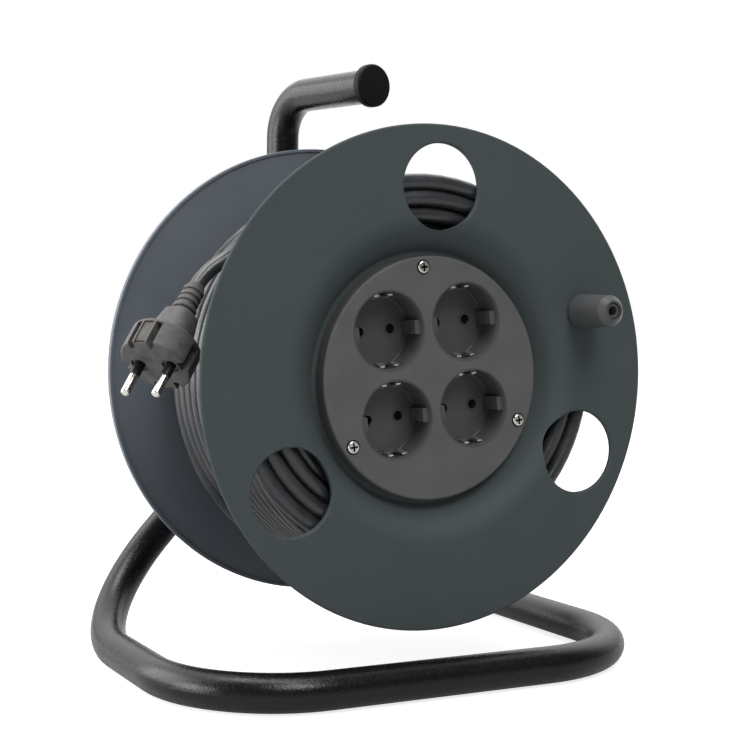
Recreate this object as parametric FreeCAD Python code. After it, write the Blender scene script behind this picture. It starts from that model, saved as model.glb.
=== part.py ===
"""Extension cord reel: a bent tube frame that carries a turning drum with four earthed
sockets, a crank knob, a wound cable and its plug.

The model is laid out about the drum: X to the right, Y to the back, Z up, with zero at the
middle of the front rim plane.  Every piece is moved into the part's own frame when written:
that frame has its origin on the floor, under the middle of the reel.  All sizes are in mm.
"""
import FreeCAD, Part
import math
import os

from FreeCAD import Vector

os.makedirs("parts", exist_ok=True)

# Running and assembly clearances
FIT = 0.02              # between a bush and its seat
RUNNING = 0.05          # radial, between a shaft and its bush
EASE = 0.3              # between a moving piece and its neighbour
LOOSE = 0.2             # between a piece and the pocket that holds it

# Frame: one bent steel tube
TUBE_D = 20.0
TUBE_WALL = 1.5
AXLE_HEIGHT = 165.0     # drum axis above the floor
BASE_HALF_WIDTH = 140.0
FRONT_BAR_DEPTH = -21.0 # front bar, measured back from the front rim
POST_DEPTH = 180.0      # upright, measured back from the front rim
POST_OFFSET = -10.0     # upright, left of the drum axis
KNEE_HEIGHT = -12.0     # where the sloping leg meets the upright, from the axis
HANDLE_HEIGHT = 170.4   # handle above the axis, where it leaves the upright
HANDLE_LENGTH = 89.5    # from the upright to the end of the handle's cap
HANDLE_DROP = 1.9       # the handle's end is this much lower
HANDLE_SWING = 12.2     # handle turned off the drum axis, degrees
RUNNER_DEPTH = 180.0    # free end of the right runner with its cap, from the front rim
BEND_FRONT_RIGHT = 79.0
BEND_FRONT_LEFT = 68.0
BEND_REAR_LEFT = 73.0
BEND_KNEE = 60.0
BEND_HANDLE = 24.0

# End caps of the tube: the runner's is flush, so that the tube lies flat on the floor
CAP_D = 25.0
CAP_HEAD = 5.0
CAP_STEM = 16.0
CAP_ROUND = 1.6

# Axle bracket, axle and its fasteners
BRACKET_WALL = 4.0
BRACKET_TOP = 62.0      # above the drum axis
BRACKET_DROP = 18.0     # below the drum axis
BRACKET_DEPTH = 18.0    # cheeks, from the bracket's front face
BRACKET_RIGHT = 18.0    # reach right of the drum axis
BRACKET_CORNER = 8.0
KNEE_GAP = 3.0          # from the end of the tube's bend to the cheeks
BOLT_R = 3.0
BOLT_HEAD_R = 5.0
BOLT_HEAD_H = 4.0
BOLT_EDGE = 12.0        # from the cheeks' ends
AXLE_R = 8.0
AXLE_FRONT = 72.0       # front end of the axle, back from the rim
SPACER_R = 12.0
WASHER_R = 14.0
WASHER_T = 2.0
END_BOLT_R = 4.0
END_BOLT_HEAD_R = 6.5
END_BOLT_HEAD_H = 5.5
END_BOLT_LENGTH = 22.0

# Drum
DRUM_TURN = 7.0         # drum as it stands, anticlockwise seen from the front
FLANGE_R = 135.0
DRUM_WIDTH = 145.0
FLANGE_WALL = 2.5
RIM_ROUND = 1.2         # edge of the front flange
REAR_RIM_DEPTH = 4.5
RIM_BAND = 4.0
RIM_LIP = 2.2
WEB_STEP = 1.2          # web of the rear flange, set forward from its rim
BEAD_MARGIN = 8.0       # bead of the rear flange, in from the rim
BEAD_W = 1.6
BEAD_H = 0.5
DISH_DEPTH = 13.5
DISH_MARGIN = 2.6       # ledge of the dish, out from the panel
DISH_SLOPE = 15.0       # width of the dish's cone
DISH_ROUND = 15.0
LEDGE_INSET = 5.5       # opening of the dish, in from the barrel
BARREL_MARGIN = 0.6     # barrel, out from the panel
BARREL_WALL = 3.0
SPIGOT_DEPTH = 7.0
SPIGOT_WALL = 2.0

# Three round holes of the front flange
HOLE_SHARE = 0.442      # radius of a hole, as a share of the web's width
HOLE_MARGIN = 10.0      # from a hole to the rim
HOLE_ANGLES = (82.5, -31.0, -152.5)
HOLE_EDGE = 0.8

# Hub of the rear flange
HUB_MARGIN = 16.0       # hub recess, in from the barrel
HUB_CORNER = 4.0
HUB_RECESS_DEPTH = 11.0
HUB_RIBS = 6
HUB_RIB_T = 2.5
SLEEVE_WALL = 4.0
BUSH_WALL = 2.0
BUSH_LENGTH = 14.0
BUSH_LIP = 2.0
BUSH_LIP_R = 13.0

# Screws that join the flanges to the barrel
BOSS_R = 4.5
EAR_R = 5.3
BOSS_LENGTH = 26.0
JOIN_INSET = 9.0        # screws that join the flanges, in from the barrel
JOIN_SCREW_R = 2.0
JOIN_HEAD_R = 3.8
JOIN_HEAD_H = 2.2
JOIN_LENGTH = 16.0
FRONT_JOIN_ANGLES = (0.0, 180.0, 270.0)
REAR_JOIN_ANGLES = (45.0, 135.0, 225.0, 315.0)

# Round panel with the sockets
PANEL_BORDER = 7.2      # from the sockets to the panel's edge
PANEL_DEPTH = 4.3       # face of the panel, back from the front flange
PANEL_WALL = 3.0
PANEL_SKIRT = 2.0
PANEL_BOSS_R = 3.3
PANEL_EDGE = 1.2
PANEL_SCREW_INSET = 5.8
PANEL_SCREW_ANGLES = (90.0, -30.0, -150.0)
PANEL_SCREW_R = 1.9
PANEL_HEAD_R = 3.4
PANEL_HEAD_H = 2.0
PANEL_SCREW_LENGTH = 22.0
SEAT_R = 4.0            # shallow seat of each panel screw
SEAT_DEPTH = 1.0
CROSS_W = 1.1
CROSS_L = 4.4
CROSS_DEPTH = 1.3

# Earthed sockets
MOUTH_R = 21.4
MOUTH_LAND = 1.2        # from the recess to the mouth
SOCKET_GAP = 0.7        # between the collars of neighbouring sockets
SOCKET_RISE = 4.4       # the group sits a little above the middle
RECESS_DEPTH = 17.5
LEAD_IN = 1.6
CUP_WALL = 1.6
CUP_FLOOR = 3.0
COLLAR_W = 2.0
COLLAR_T = 2.0
GUIDE_W = 7.5
GUIDE_H = 3.4
GUIDE_TOP = 2.5
PIN_PITCH = 19.0
PIN_HOLE_R = 2.75
PIN_RING_R = 3.5
PIN_RING_H = 0.6
CLIP_W = 11.0
CLIP_T = 0.8
CLIP_INSET = 1.9        # from the recess wall to the clip's inner face
CLIP_SLOT = 5.6         # between the two fingers of a clip
CLIP_SPRING = 1.3
CLIP_TOP = 3.6

# Contacts and housing behind the sockets
CONTACT_R = 3.4
CONTACT_BORE_R = 2.45
CONTACT_LENGTH = 15.0
CARRIER_T = 3.0
CARRIER_INSET = 14.5    # carrier, in from the barrel
BAR_W = 5.0
BAR_T = 1.0
HOUSING_WALL = 2.5
HOUSING_TAPER = 6.0
HOUSING_DEPTH = 30.0
INLET_R = 6.0           # hole in the barrel where the cable comes in
INLET_DEPTH = 48.0
INLET_ANGLE = 50.0

# Crank knob
KNOB_MARGIN = 34.8      # in from the rim
KNOB_ANGLE = 15.0
KNOB_LENGTH = 30.0
KNOB_BASE_R = 9.8
KNOB_FOOT_ROUND = 1.6
KNOB_END_R = 8.5
KNOB_FACE_R = 5.6       # flat ring at the end, inside its chamfer
KNOB_CHAMFER_LENGTH = 3.0
KNOB_PIN_R = 3.0
KNOB_HEAD_R = 4.3
KNOB_HEAD_LENGTH = 7.5
KNOB_HEAD_SINK = 1.0
KNOB_EYE_R = 2.7        # blind hole in the pin's head
KNOB_EYE_DEPTH = 6.0

# Cable
CABLE_D = 8.4
TURN_GAP = 0.55         # between neighbouring turns
CORE_GAP = 0.25         # between the core and the turns over it
SIDE_GAP = 0.6          # between the end turns and the flanges
CORE_MARGIN = 15.25     # core, out from the dish
TURNS = 11.77           # of the outer layer, before it climbs
START_ANGLE = -92.0
CLIMB_TURNS = 0.25
TOP_TURNS = 0.527       # over the outer layer, towards the front
TOP_END_DEPTH = 73.8    # where the top turn ends, back from the front flange
DIVE_R = 30.0           # bend where the outer layer comes up from the core
DIVE_ANGLE = 50.0

# Plug
PLUG_AXIS = Vector(-0.5465, -0.3719, -0.7503)   # the way its pins point
PLUG_PIN_LINE = Vector(0.585, -0.810, 0.024)
PLUG_OUT = 32.3         # middle of its face, out from the top layer
PLUG_ANGLE = 177.8
PLUG_DEPTH = 40.0       # back from the front flange
SKIRT_R = 19.2
SKIRT_LENGTH = 16.0
SHOULDER_LENGTH = 5.0
GRIP_LENGTH = 24.0
GRIP_W = 23.0
GRIP_T = 20.0
GRIP_END_W = 18.0
GRIP_END_T = 16.0
WAIST_R = 5.4           # behind the grip
WAIST_LENGTH = 3.2
COLLAR_LENGTH = 2.8
PLUG_COLLAR_R = 6.6
NOTCH_W = 6.0
NOTCH_H = 4.5
GROOVE_W = 3.5          # grooves beside the earth strips
GROOVE_H = 6.0
GROOVE_OFFSET = 6.0
NECK_R = 5.2
RELIEF_LENGTH = 15.0
RELIEF_END_R = 4.8
RIBS = 3
RIB_W = 2.2
RIB_STEP = 3.9
RIB_H = 0.8
PIN_R = 2.4
PIN_LENGTH = 19.0
PIN_ROOT = 6.0
PIN_ROOT_R = 2.0
PIN_SEAT_R = 4.6        # shallow seat round each pin
PIN_SEAT_DEPTH = 1.0
SLEEVE_LENGTH = 7.0
SLEEVE_T = 0.35
EARTH_W = 6.0
EARTH_T = 0.8
EARTH_LENGTH = 14.0

# Free stretch of the cable: from the end of the winding to the plug's bend relief
TAIL_LEAD = 16.5        # first run, straight on from the winding
TAIL_CORNERS = (        # out from the top layer, angle, back from the front flange
    (2.2, 125.9, 73.8),
    (-0.9, 137.3, 75.0),
)
TAIL_END = 17.4         # last run, straight into the bend relief

# Values that follow from the ones above
CABLE_R = CABLE_D / 2
TUBE_R = TUBE_D / 2
WEB_BACK = FLANGE_WALL
RECESS_R = MOUTH_R - MOUTH_LAND
CUP_R = MOUTH_R + 0.1
COLLAR_R = MOUTH_R + COLLAR_W
CLIP_R = RECESS_R - CLIP_INSET
SOCKET_PITCH = 2 * COLLAR_R + SOCKET_GAP
SOCKET_REACH = math.hypot(SOCKET_PITCH / 2, SOCKET_PITCH / 2 + SOCKET_RISE) + MOUTH_R
PANEL_R = SOCKET_REACH + PANEL_BORDER
PANEL_SCREW_PITCH_R = PANEL_R - PANEL_SCREW_INSET
BARREL_R = PANEL_R + BARREL_MARGIN
OPENING_R = BARREL_R - LEDGE_INSET
JOIN_PITCH_R = BARREL_R - JOIN_INSET
HUB_RECESS_R = BARREL_R - HUB_MARGIN
CARRIER_R = BARREL_R - CARRIER_INSET
DISH_INNER_R = PANEL_R + DISH_MARGIN
DISH_OUTER_R = DISH_INNER_R + DISH_SLOPE
BEAD_R = FLANGE_R - BEAD_MARGIN
HOLE_R = HOLE_SHARE * (FLANGE_R - DISH_OUTER_R)
HOLE_PITCH_R = FLANGE_R - HOLE_MARGIN - HOLE_R
KNOB_PITCH_R = FLANGE_R - KNOB_MARGIN
CORE_R = DISH_OUTER_R + CORE_MARGIN
REAR_WEB_BACK = DRUM_WIDTH - WEB_STEP
REAR_WEB_FRONT = REAR_WEB_BACK - FLANGE_WALL
DISH_BACK = DISH_DEPTH + FLANGE_WALL
BARREL_BORE_R = BARREL_R - BARREL_WALL
SPIGOT_R = BARREL_BORE_R - LOOSE
LAYER_R = CORE_R + CORE_GAP + CABLE_R
TOP_LAYER_R = LAYER_R + CABLE_D + TURN_GAP
FIRST_Y = WEB_BACK + SIDE_GAP + CABLE_R
LAYER_END_Y = FIRST_Y + (CABLE_D + TURN_GAP) * (TURNS + CLIMB_TURNS)
CUP_BACK = PANEL_DEPTH + RECESS_DEPTH + CUP_FLOOR
PANEL_BACK = PANEL_DEPTH + PANEL_WALL
CLIP_BACK = CUP_BACK + CLIP_T
CARRIER_FRONT = CLIP_BACK + LOOSE
CARRIER_BACK = CARRIER_FRONT + CARRIER_T
HOUSING_BACK = CARRIER_BACK + HOUSING_DEPTH
BAR_FRONT = CUP_BACK + FIT + CONTACT_LENGTH
BUSH_R = AXLE_R + RUNNING + BUSH_WALL
SLEEVE_BORE_R = BUSH_R + FIT
SLEEVE_R = SLEEVE_BORE_R + SLEEVE_WALL
SLEEVE_FRONT = AXLE_FRONT + BUSH_LIP + EASE
SLEEVE_BACK = DRUM_WIDTH
BRACKET_FRONT = POST_DEPTH - TUBE_R - LOOSE - BRACKET_WALL
REEL_FRONT = min(FRONT_BAR_DEPTH - TUBE_R, -KNOB_LENGTH)
REEL_BACK = POST_DEPTH + TUBE_R
MIDDLE_Y = (REEL_FRONT + REEL_BACK) / 2
TO_PART = Vector(0, -MIDDLE_Y, AXLE_HEIGHT)

Y_AXIS = Vector(0, 1, 0)
ORIGIN = Vector(0, 0, 0)


def write(name, shape):
    """Move a shape into the part's frame and write it to its own file."""
    placed = shape.copy()
    placed.translate(TO_PART)
    placed.exportStep("parts/%s.step" % name)


def polar(radius, degrees, y=0.0):
    """A point at an angle seen from the front, anticlockwise from the right."""
    angle = math.radians(degrees)
    return Vector(radius * math.cos(angle), y, radius * math.sin(angle))


def spin(shape, degrees, centre=ORIGIN):
    """A copy turned about a fore and aft axis, anticlockwise seen from the front."""
    turned = shape.copy()
    turned.rotate(centre, Vector(0, -1, 0), degrees)
    return turned


def unit(vector):
    """The same direction with length one."""
    copy = Vector(vector)
    copy.normalize()
    return copy


def corner_arc(before, corner, after, radius):
    """Tangent arc in a corner: its start, a point half way, and its end."""
    to_before = unit(before - corner)
    to_after = unit(after - corner)
    half = to_before.getAngle(to_after) / 2
    setback = radius / math.tan(half)
    start = corner + to_before * setback
    end = corner + to_after * setback
    middle = corner + unit(to_before + to_after) * (radius / math.sin(half) - radius)
    return start, middle, end


def rounded_path(points, radii):
    """Edges of an open path of straight runs joined by tangent arcs."""
    edges = []
    here = points[0]
    for index, radius in enumerate(radii):
        before, corner, after = points[index:index + 3]
        start, middle, end = corner_arc(before, corner, after, radius)
        if (start - here).Length > 1e-6:
            edges.append(Part.LineSegment(here, start).toShape())
        edges.append(Part.Arc(start, middle, end).toShape())
        here = end
    edges.append(Part.LineSegment(here, points[-1]).toShape())
    return edges


def rounded_face(outline):
    """A flat face from corners (x, y, radius) in the XY plane."""
    edges = []
    first = None
    here = None
    count = len(outline)
    for index in range(count):
        corners = [Vector(outline[k % count][0], outline[k % count][1], 0)
                   for k in (index - 1, index, index + 1)]
        radius = outline[index][2]
        if radius > 0:
            start, middle, end = corner_arc(*corners, radius)
        else:
            start = end = corners[1]
        if here is not None and (start - here).Length > 1e-6:
            edges.append(Part.LineSegment(here, start).toShape())
        if radius > 0:
            edges.append(Part.Arc(start, middle, end).toShape())
        if first is None:
            first = start
        here = end
    if (first - here).Length > 1e-6:
        edges.append(Part.LineSegment(here, first).toShape())
    return Part.Face(Part.Wire(edges))


def turned(outline):
    """A solid of revolution about the drum axis from corners (radius, y, rounding)."""
    return rounded_face(outline).revolve(ORIGIN, Y_AXIS, 360)


def rod(radius, start, end):
    """A round bar between two points."""
    along = end - start
    return Part.makeCylinder(radius, along.Length, start, along)


def tube_along(edges, radius):
    """A round bar swept along joined edges."""
    path = Part.Wire(edges)
    first = edges[0]
    start = first.valueAt(first.FirstParameter)
    tangent = first.tangentAt(first.FirstParameter)
    section = Part.Wire([Part.makeCircle(radius, start, tangent)])
    return path.makePipeShell([section], True, False)


def block(width, depth, height, centre):
    """A box given by its middle."""
    corner = centre - Vector(width / 2, depth / 2, height / 2)
    return Part.makeBox(width, depth, height, corner)


def hexagon(radius, height, base, axis):
    """A hexagonal bar standing on a point, given across its corners."""
    side = Vector(0, 0, 1) if abs(axis.z) < 0.9 else Vector(1, 0, 0)
    u = unit(side.cross(axis))
    v = unit(axis).cross(u)
    corners = []
    for k in range(7):
        angle = math.radians(60 * k)
        corners.append(base + u * (radius * math.cos(angle)) + v * (radius * math.sin(angle)))
    return Part.Face(Part.makePolygon(corners)).extrude(unit(axis) * height)


# Frame

def frame_corners():
    """Corners of the tube's middle line, from the runner's free end to the handle's end."""
    floor_z = TUBE_R - AXLE_HEIGHT
    swing = math.radians(HANDLE_SWING)
    handle_way = unit(Vector(math.sin(swing), -math.cos(swing), -HANDLE_DROP / HANDLE_LENGTH))
    post_top = Vector(POST_OFFSET, POST_DEPTH, HANDLE_HEIGHT)
    return [
        Vector(BASE_HALF_WIDTH, RUNNER_DEPTH - CAP_HEAD, floor_z),
        Vector(BASE_HALF_WIDTH, FRONT_BAR_DEPTH, floor_z),
        Vector(-BASE_HALF_WIDTH, FRONT_BAR_DEPTH, floor_z),
        Vector(-BASE_HALF_WIDTH, POST_DEPTH, floor_z),
        Vector(POST_OFFSET, POST_DEPTH, KNEE_HEIGHT),
        post_top,
        post_top + handle_way * (HANDLE_LENGTH - CAP_HEAD),
    ]


def frame_tube():
    """The bent tube, hollow, with the two cross holes for the bracket's bolts."""
    bends = [BEND_FRONT_RIGHT, BEND_FRONT_LEFT, BEND_REAR_LEFT, BEND_KNEE, BEND_HANDLE]
    edges = rounded_path(frame_corners(), bends)
    tube = tube_along(edges, TUBE_R).cut(tube_along(edges, TUBE_R - TUBE_WALL))
    for z in bolt_heights():
        left = Vector(POST_OFFSET - TUBE_D, POST_DEPTH, z)
        right = Vector(POST_OFFSET + TUBE_D, POST_DEPTH, z)
        tube = tube.cut(rod(BOLT_R + FIT, left, right))
    return tube


def end_cap(end, outward, head_r):
    """A plug with a domed head for an open end of the tube."""
    stem_r = TUBE_R - TUBE_WALL - FIT
    outline = [
        (0, -CAP_STEM, 0),
        (stem_r, -CAP_STEM, 1.0),
        (stem_r, 0, 0),
        (head_r, 0, 0.5),
        (head_r, CAP_HEAD, CAP_ROUND),
        (0, CAP_HEAD, 0),
    ]
    cap = turned(outline)
    cap.Placement = FreeCAD.Placement(end, FreeCAD.Rotation(Y_AXIS, outward))
    return cap


def cheek_bottom():
    """Lower end of the bracket's cheeks, just above the upright's bend."""
    corners = frame_corners()
    bend_top = corner_arc(corners[3], corners[4], corners[5], BEND_KNEE)[2]
    return bend_top.z + KNEE_GAP


def bolt_heights():
    """Heights of the two cross bolts."""
    return cheek_bottom() + BOLT_EDGE, BRACKET_TOP - BOLT_EDGE


def bracket_sides():
    """Left and right outer faces of the bracket's two cheeks."""
    reach = TUBE_R + LOOSE + BRACKET_WALL
    return POST_OFFSET - reach, POST_OFFSET + reach


def axle_bracket():
    """A channel that straddles the upright; its front wall reaches down to the axle."""
    left, right = bracket_sides()
    height = BRACKET_TOP + BRACKET_DROP
    wall = Part.makeBox(BRACKET_RIGHT - left, BRACKET_WALL, height,
                        Vector(left, BRACKET_FRONT, -BRACKET_DROP))
    corners = [edge for edge in wall.Edges
               if abs(edge.BoundBox.YLength - BRACKET_WALL) < 1e-6
               and (edge.BoundBox.XMax > 0 or edge.BoundBox.ZMax < 0)]
    bracket = wall.makeFillet(BRACKET_CORNER, corners)
    for x in (left, right - BRACKET_WALL):
        cheek = Part.makeBox(BRACKET_WALL, BRACKET_DEPTH, BRACKET_TOP - cheek_bottom(),
                             Vector(x, BRACKET_FRONT, cheek_bottom()))
        bracket = bracket.fuse(cheek)
    bracket = bracket.removeSplitter()
    for z in bolt_heights():
        start = Vector(left - 1, POST_DEPTH, z)
        bracket = bracket.cut(rod(BOLT_R + FIT, start, Vector(right + 1, POST_DEPTH, z)))
    return bracket.cut(rod(AXLE_R, Vector(0, BRACKET_FRONT - 1, 0),
                           Vector(0, BRACKET_FRONT + BRACKET_WALL + 1, 0)))


def bracket_bolts():
    """Two cross bolts with hexagonal heads and nuts."""
    left, right = bracket_sides()
    sides = []
    for z in bolt_heights():
        head_at = Vector(left, POST_DEPTH, z)
        nut_at = Vector(right, POST_DEPTH, z)
        bolt = rod(BOLT_R, head_at, nut_at + Vector(BOLT_HEAD_H + 2, 0, 0))
        bolt = bolt.fuse(hexagon(BOLT_HEAD_R, BOLT_HEAD_H, head_at, Vector(-1, 0, 0)))
        bolt = bolt.fuse(hexagon(BOLT_HEAD_R, BOLT_HEAD_H, nut_at, Vector(1, 0, 0)))
        sides.append(bolt.removeSplitter())
    return Part.makeCompound(sides)


def axle():
    """The axle, held in the bracket's front wall, with a tapped front end."""
    bar = rod(AXLE_R, Vector(0, AXLE_FRONT, 0), Vector(0, BRACKET_FRONT + BRACKET_WALL, 0))
    bore_end = Vector(0, AXLE_FRONT + END_BOLT_LENGTH + 2, 0)
    return bar.cut(rod(END_BOLT_R, Vector(0, AXLE_FRONT - 1, 0), bore_end))


def spacer():
    """A sleeve on the axle between the bracket and the drum."""
    start = Vector(0, SLEEVE_BACK + BUSH_LIP + EASE, 0)
    end = Vector(0, BRACKET_FRONT, 0)
    return rod(SPACER_R, start, end).cut(rod(AXLE_R, start, end))


def axle_washer():
    """Washer that keeps the drum on the axle."""
    start = Vector(0, AXLE_FRONT - WASHER_T, 0)
    end = Vector(0, AXLE_FRONT, 0)
    return rod(WASHER_R, start, end).cut(rod(END_BOLT_R + LOOSE, start, end))


def axle_bolt():
    """Bolt in the axle's front end, over the washer."""
    seat = Vector(0, AXLE_FRONT - WASHER_T, 0)
    shank = rod(END_BOLT_R - FIT, seat, Vector(0, AXLE_FRONT + END_BOLT_LENGTH, 0))
    head = hexagon(END_BOLT_HEAD_R, END_BOLT_HEAD_H, seat, Vector(0, -1, 0))
    return shank.fuse(head)


# Drum

def holes_through(shape, radius, pitch_r, angles, y_from, y_to):
    """Cut round holes, spaced on a circle, through a shape."""
    for angle in angles:
        shape = shape.cut(rod(radius, polar(pitch_r, angle, y_from), polar(pitch_r, angle, y_to)))
    return shape


def front_flange():
    """Front flange: flat web, dished middle, ledge and spigot, with holes and bosses."""
    spigot_in = SPIGOT_R - SPIGOT_WALL
    outline = [
        (OPENING_R, DISH_DEPTH, 0.4),
        (DISH_INNER_R, DISH_DEPTH, 2.0),
        (DISH_OUTER_R, 0, DISH_ROUND),
        (FLANGE_R, 0, RIM_ROUND),
        (FLANGE_R, WEB_BACK, RIM_ROUND),
        (DISH_OUTER_R + 1.0, WEB_BACK, DISH_ROUND - FLANGE_WALL),
        (DISH_INNER_R + 1.0, DISH_BACK, 3.0),
        (SPIGOT_R, DISH_BACK, 0),
        (SPIGOT_R, DISH_BACK + SPIGOT_DEPTH, 0.4),
        (spigot_in, DISH_BACK + SPIGOT_DEPTH, 0.4),
        (OPENING_R, DISH_BACK, 0),
    ]
    flange = turned(outline)
    for angle in PANEL_SCREW_ANGLES:
        boss = rod(PANEL_BOSS_R, polar(PANEL_SCREW_PITCH_R, angle, PANEL_BACK + LOOSE),
                   polar(PANEL_SCREW_PITCH_R, angle, PANEL_BACK + BOSS_LENGTH))
        flange = flange.fuse(boss)
    for angle in FRONT_JOIN_ANGLES:
        ear = rod(EAR_R, polar(JOIN_PITCH_R, angle, DISH_DEPTH),
                  polar(JOIN_PITCH_R, angle, DISH_BACK))
        flange = flange.fuse(ear)
    flange = flange.removeSplitter()
    flange = holes_through(flange, PANEL_SCREW_R, PANEL_SCREW_PITCH_R, PANEL_SCREW_ANGLES,
                           0, PANEL_DEPTH + PANEL_SCREW_LENGTH)
    flange = holes_through(flange, JOIN_SCREW_R, JOIN_PITCH_R, FRONT_JOIN_ANGLES, 0, DISH_BACK + 1)
    flange = flange.cut(rod(KNOB_PIN_R, polar(KNOB_PITCH_R, KNOB_ANGLE, -1),
                            polar(KNOB_PITCH_R, KNOB_ANGLE, WEB_BACK + 1)))
    for angle in HOLE_ANGLES:
        flange = flange.cut(flared_hole(angle))
    return flange


def flared_hole(angle):
    """Cutter for one round flange hole with softened edges."""
    outline = [
        (0, -1, 0),
        (HOLE_R + HOLE_EDGE + 1, -1, 0),
        (HOLE_R, HOLE_EDGE, 0),
        (HOLE_R, DISH_DEPTH, 0),
        (0, DISH_DEPTH, 0),
    ]
    cutter = turned(outline)
    cutter.translate(polar(HOLE_PITCH_R, angle))
    return cutter


def barrel():
    """Drum barrel with screw bosses inside, and the hole where the cable enters."""
    front = DISH_BACK
    back = REAR_WEB_FRONT
    shell = rod(BARREL_R, Vector(0, front, 0), Vector(0, back, 0))
    bore = rod(BARREL_BORE_R, Vector(0, front, 0), Vector(0, back, 0))
    bosses = [rod(BOSS_R, polar(JOIN_PITCH_R, angle, front + FIT),
                  polar(JOIN_PITCH_R, angle, front + BOSS_LENGTH))
              for angle in FRONT_JOIN_ANGLES]
    bosses += [rod(BOSS_R, polar(JOIN_PITCH_R, angle, back - BOSS_LENGTH),
                   polar(JOIN_PITCH_R, angle, back))
               for angle in REAR_JOIN_ANGLES]
    body = shell.cut(bore)
    for boss in bosses:
        body = body.fuse(boss_with_web(boss, bore))
    spigot = rod(SPIGOT_R + LOOSE, Vector(0, front, 0), Vector(0, front + SPIGOT_DEPTH + LOOSE, 0))
    spigot = spigot.cut(rod(SPIGOT_R - SPIGOT_WALL - 2 * LOOSE, Vector(0, front - 1, 0),
                            Vector(0, front + SPIGOT_DEPTH + 1, 0)))
    body = body.cut(spigot)
    body = holes_through(body, JOIN_SCREW_R, JOIN_PITCH_R, FRONT_JOIN_ANGLES,
                         front, front + JOIN_LENGTH)
    body = holes_through(body, JOIN_SCREW_R, JOIN_PITCH_R, REAR_JOIN_ANGLES,
                         back - JOIN_LENGTH, back)
    inlet = rod(INLET_R, polar(BARREL_BORE_R - 5, INLET_ANGLE, INLET_DEPTH),
                polar(BARREL_R + 5, INLET_ANGLE, INLET_DEPTH))
    return body.cut(inlet).removeSplitter()


def boss_with_web(boss, bore):
    """A screw boss with a thin web that ties it to the barrel wall."""
    box = boss.BoundBox
    middle = Vector((box.XMin + box.XMax) / 2, 0, (box.ZMin + box.ZMax) / 2)
    angle = math.degrees(math.atan2(middle.z, middle.x))
    web = Part.makeBox(BARREL_R - 1 - middle.Length, box.YLength, 3.0,
                       Vector(middle.Length, box.YMin, -1.5))
    outside = rod(BARREL_R - 0.5, Vector(0, box.YMin, 0), Vector(0, box.YMax, 0))
    return boss.fuse(spin(web, angle)).common(outside)


def rear_flange():
    """Rear flange: rim, web, ribbed hub recess and the long sleeve for the bushes."""
    rim_r = FLANGE_R - RIM_BAND
    back = DRUM_WIDTH
    floor_back = REAR_WEB_BACK - HUB_RECESS_DEPTH
    floor_front = floor_back - FLANGE_WALL
    outline = [
        (SLEEVE_BORE_R, SLEEVE_FRONT, 0.3),
        (SLEEVE_R, SLEEVE_FRONT, 0.6),
        (SLEEVE_R, floor_front, 3.0),
        (HUB_RECESS_R - HUB_CORNER, floor_front, HUB_CORNER),
        (HUB_RECESS_R, REAR_WEB_FRONT, 2.0),
        (FLANGE_R - RIM_LIP, REAR_WEB_FRONT, 0),
        (FLANGE_R - RIM_LIP, back - REAR_RIM_DEPTH, 0.6),
        (FLANGE_R, back - REAR_RIM_DEPTH, 0.6),
        (FLANGE_R, back, RIM_ROUND),
        (rim_r, back, 0.6),
        (rim_r, REAR_WEB_BACK, 0),
        (BEAD_R + BEAD_W, REAR_WEB_BACK, 0),
        (BEAD_R + BEAD_W, REAR_WEB_BACK + BEAD_H, 0),
        (BEAD_R, REAR_WEB_BACK + BEAD_H, 0),
        (BEAD_R, REAR_WEB_BACK, 0),
        (HUB_RECESS_R + 3, REAR_WEB_BACK, 2.0),
        (HUB_RECESS_R - 1, floor_back, 2.0),
        (SLEEVE_R, floor_back, 0),
        (SLEEVE_R, SLEEVE_BACK, 0.6),
        (SLEEVE_BORE_R, SLEEVE_BACK, 0.3),
    ]
    flange = turned(outline)
    for k in range(HUB_RIBS):
        rib = Part.makeBox(HUB_RECESS_R + 1 - SLEEVE_R, REAR_WEB_BACK - 1 - floor_back, HUB_RIB_T,
                           Vector(SLEEVE_R - 1, floor_back, -HUB_RIB_T / 2))
        flange = flange.fuse(spin(rib, 360.0 / HUB_RIBS * k))
    flange = flange.removeSplitter()
    return holes_through(flange, JOIN_SCREW_R + LOOSE, JOIN_PITCH_R, REAR_JOIN_ANGLES,
                         REAR_WEB_FRONT - 1, REAR_WEB_BACK + 1)


def pan_screw(at, inward, shank_r, head_r, head_h, length, cross=False):
    """A pan head screw seated at a point; its shank runs inward from there."""
    head = rod(head_r, at, at - inward * head_h)
    rim = [edge for edge in head.Edges
           if isinstance(edge.Curve, Part.Circle) and (edge.CenterOfMass - at).Length > head_h / 2]
    head = head.makeFillet(head_h * 0.45, rim)
    screw = head.fuse(rod(shank_r, at, at + inward * length))
    if cross:
        top = at - inward * head_h
        for size in (Vector(CROSS_L, CROSS_DEPTH * 2, CROSS_W),
                     Vector(CROSS_W, CROSS_DEPTH * 2, CROSS_L)):
            screw = screw.cut(block(size.x, size.y, size.z, top))
    return screw


def front_join_screws():
    """Screws from the front flange into the barrel, under the panel."""
    screws = [pan_screw(polar(JOIN_PITCH_R, angle, DISH_DEPTH), Y_AXIS, JOIN_SCREW_R - FIT,
                        JOIN_HEAD_R, JOIN_HEAD_H, JOIN_LENGTH)
              for angle in FRONT_JOIN_ANGLES]
    return Part.makeCompound(screws)


def rear_join_screws():
    """Screws from the rear flange into the barrel, with cross recesses."""
    screws = [pan_screw(polar(JOIN_PITCH_R, angle, REAR_WEB_BACK), Vector(0, -1, 0),
                        JOIN_SCREW_R - FIT, JOIN_HEAD_R, JOIN_HEAD_H, JOIN_LENGTH, True)
              for angle in REAR_JOIN_ANGLES]
    return Part.makeCompound(screws)


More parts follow.
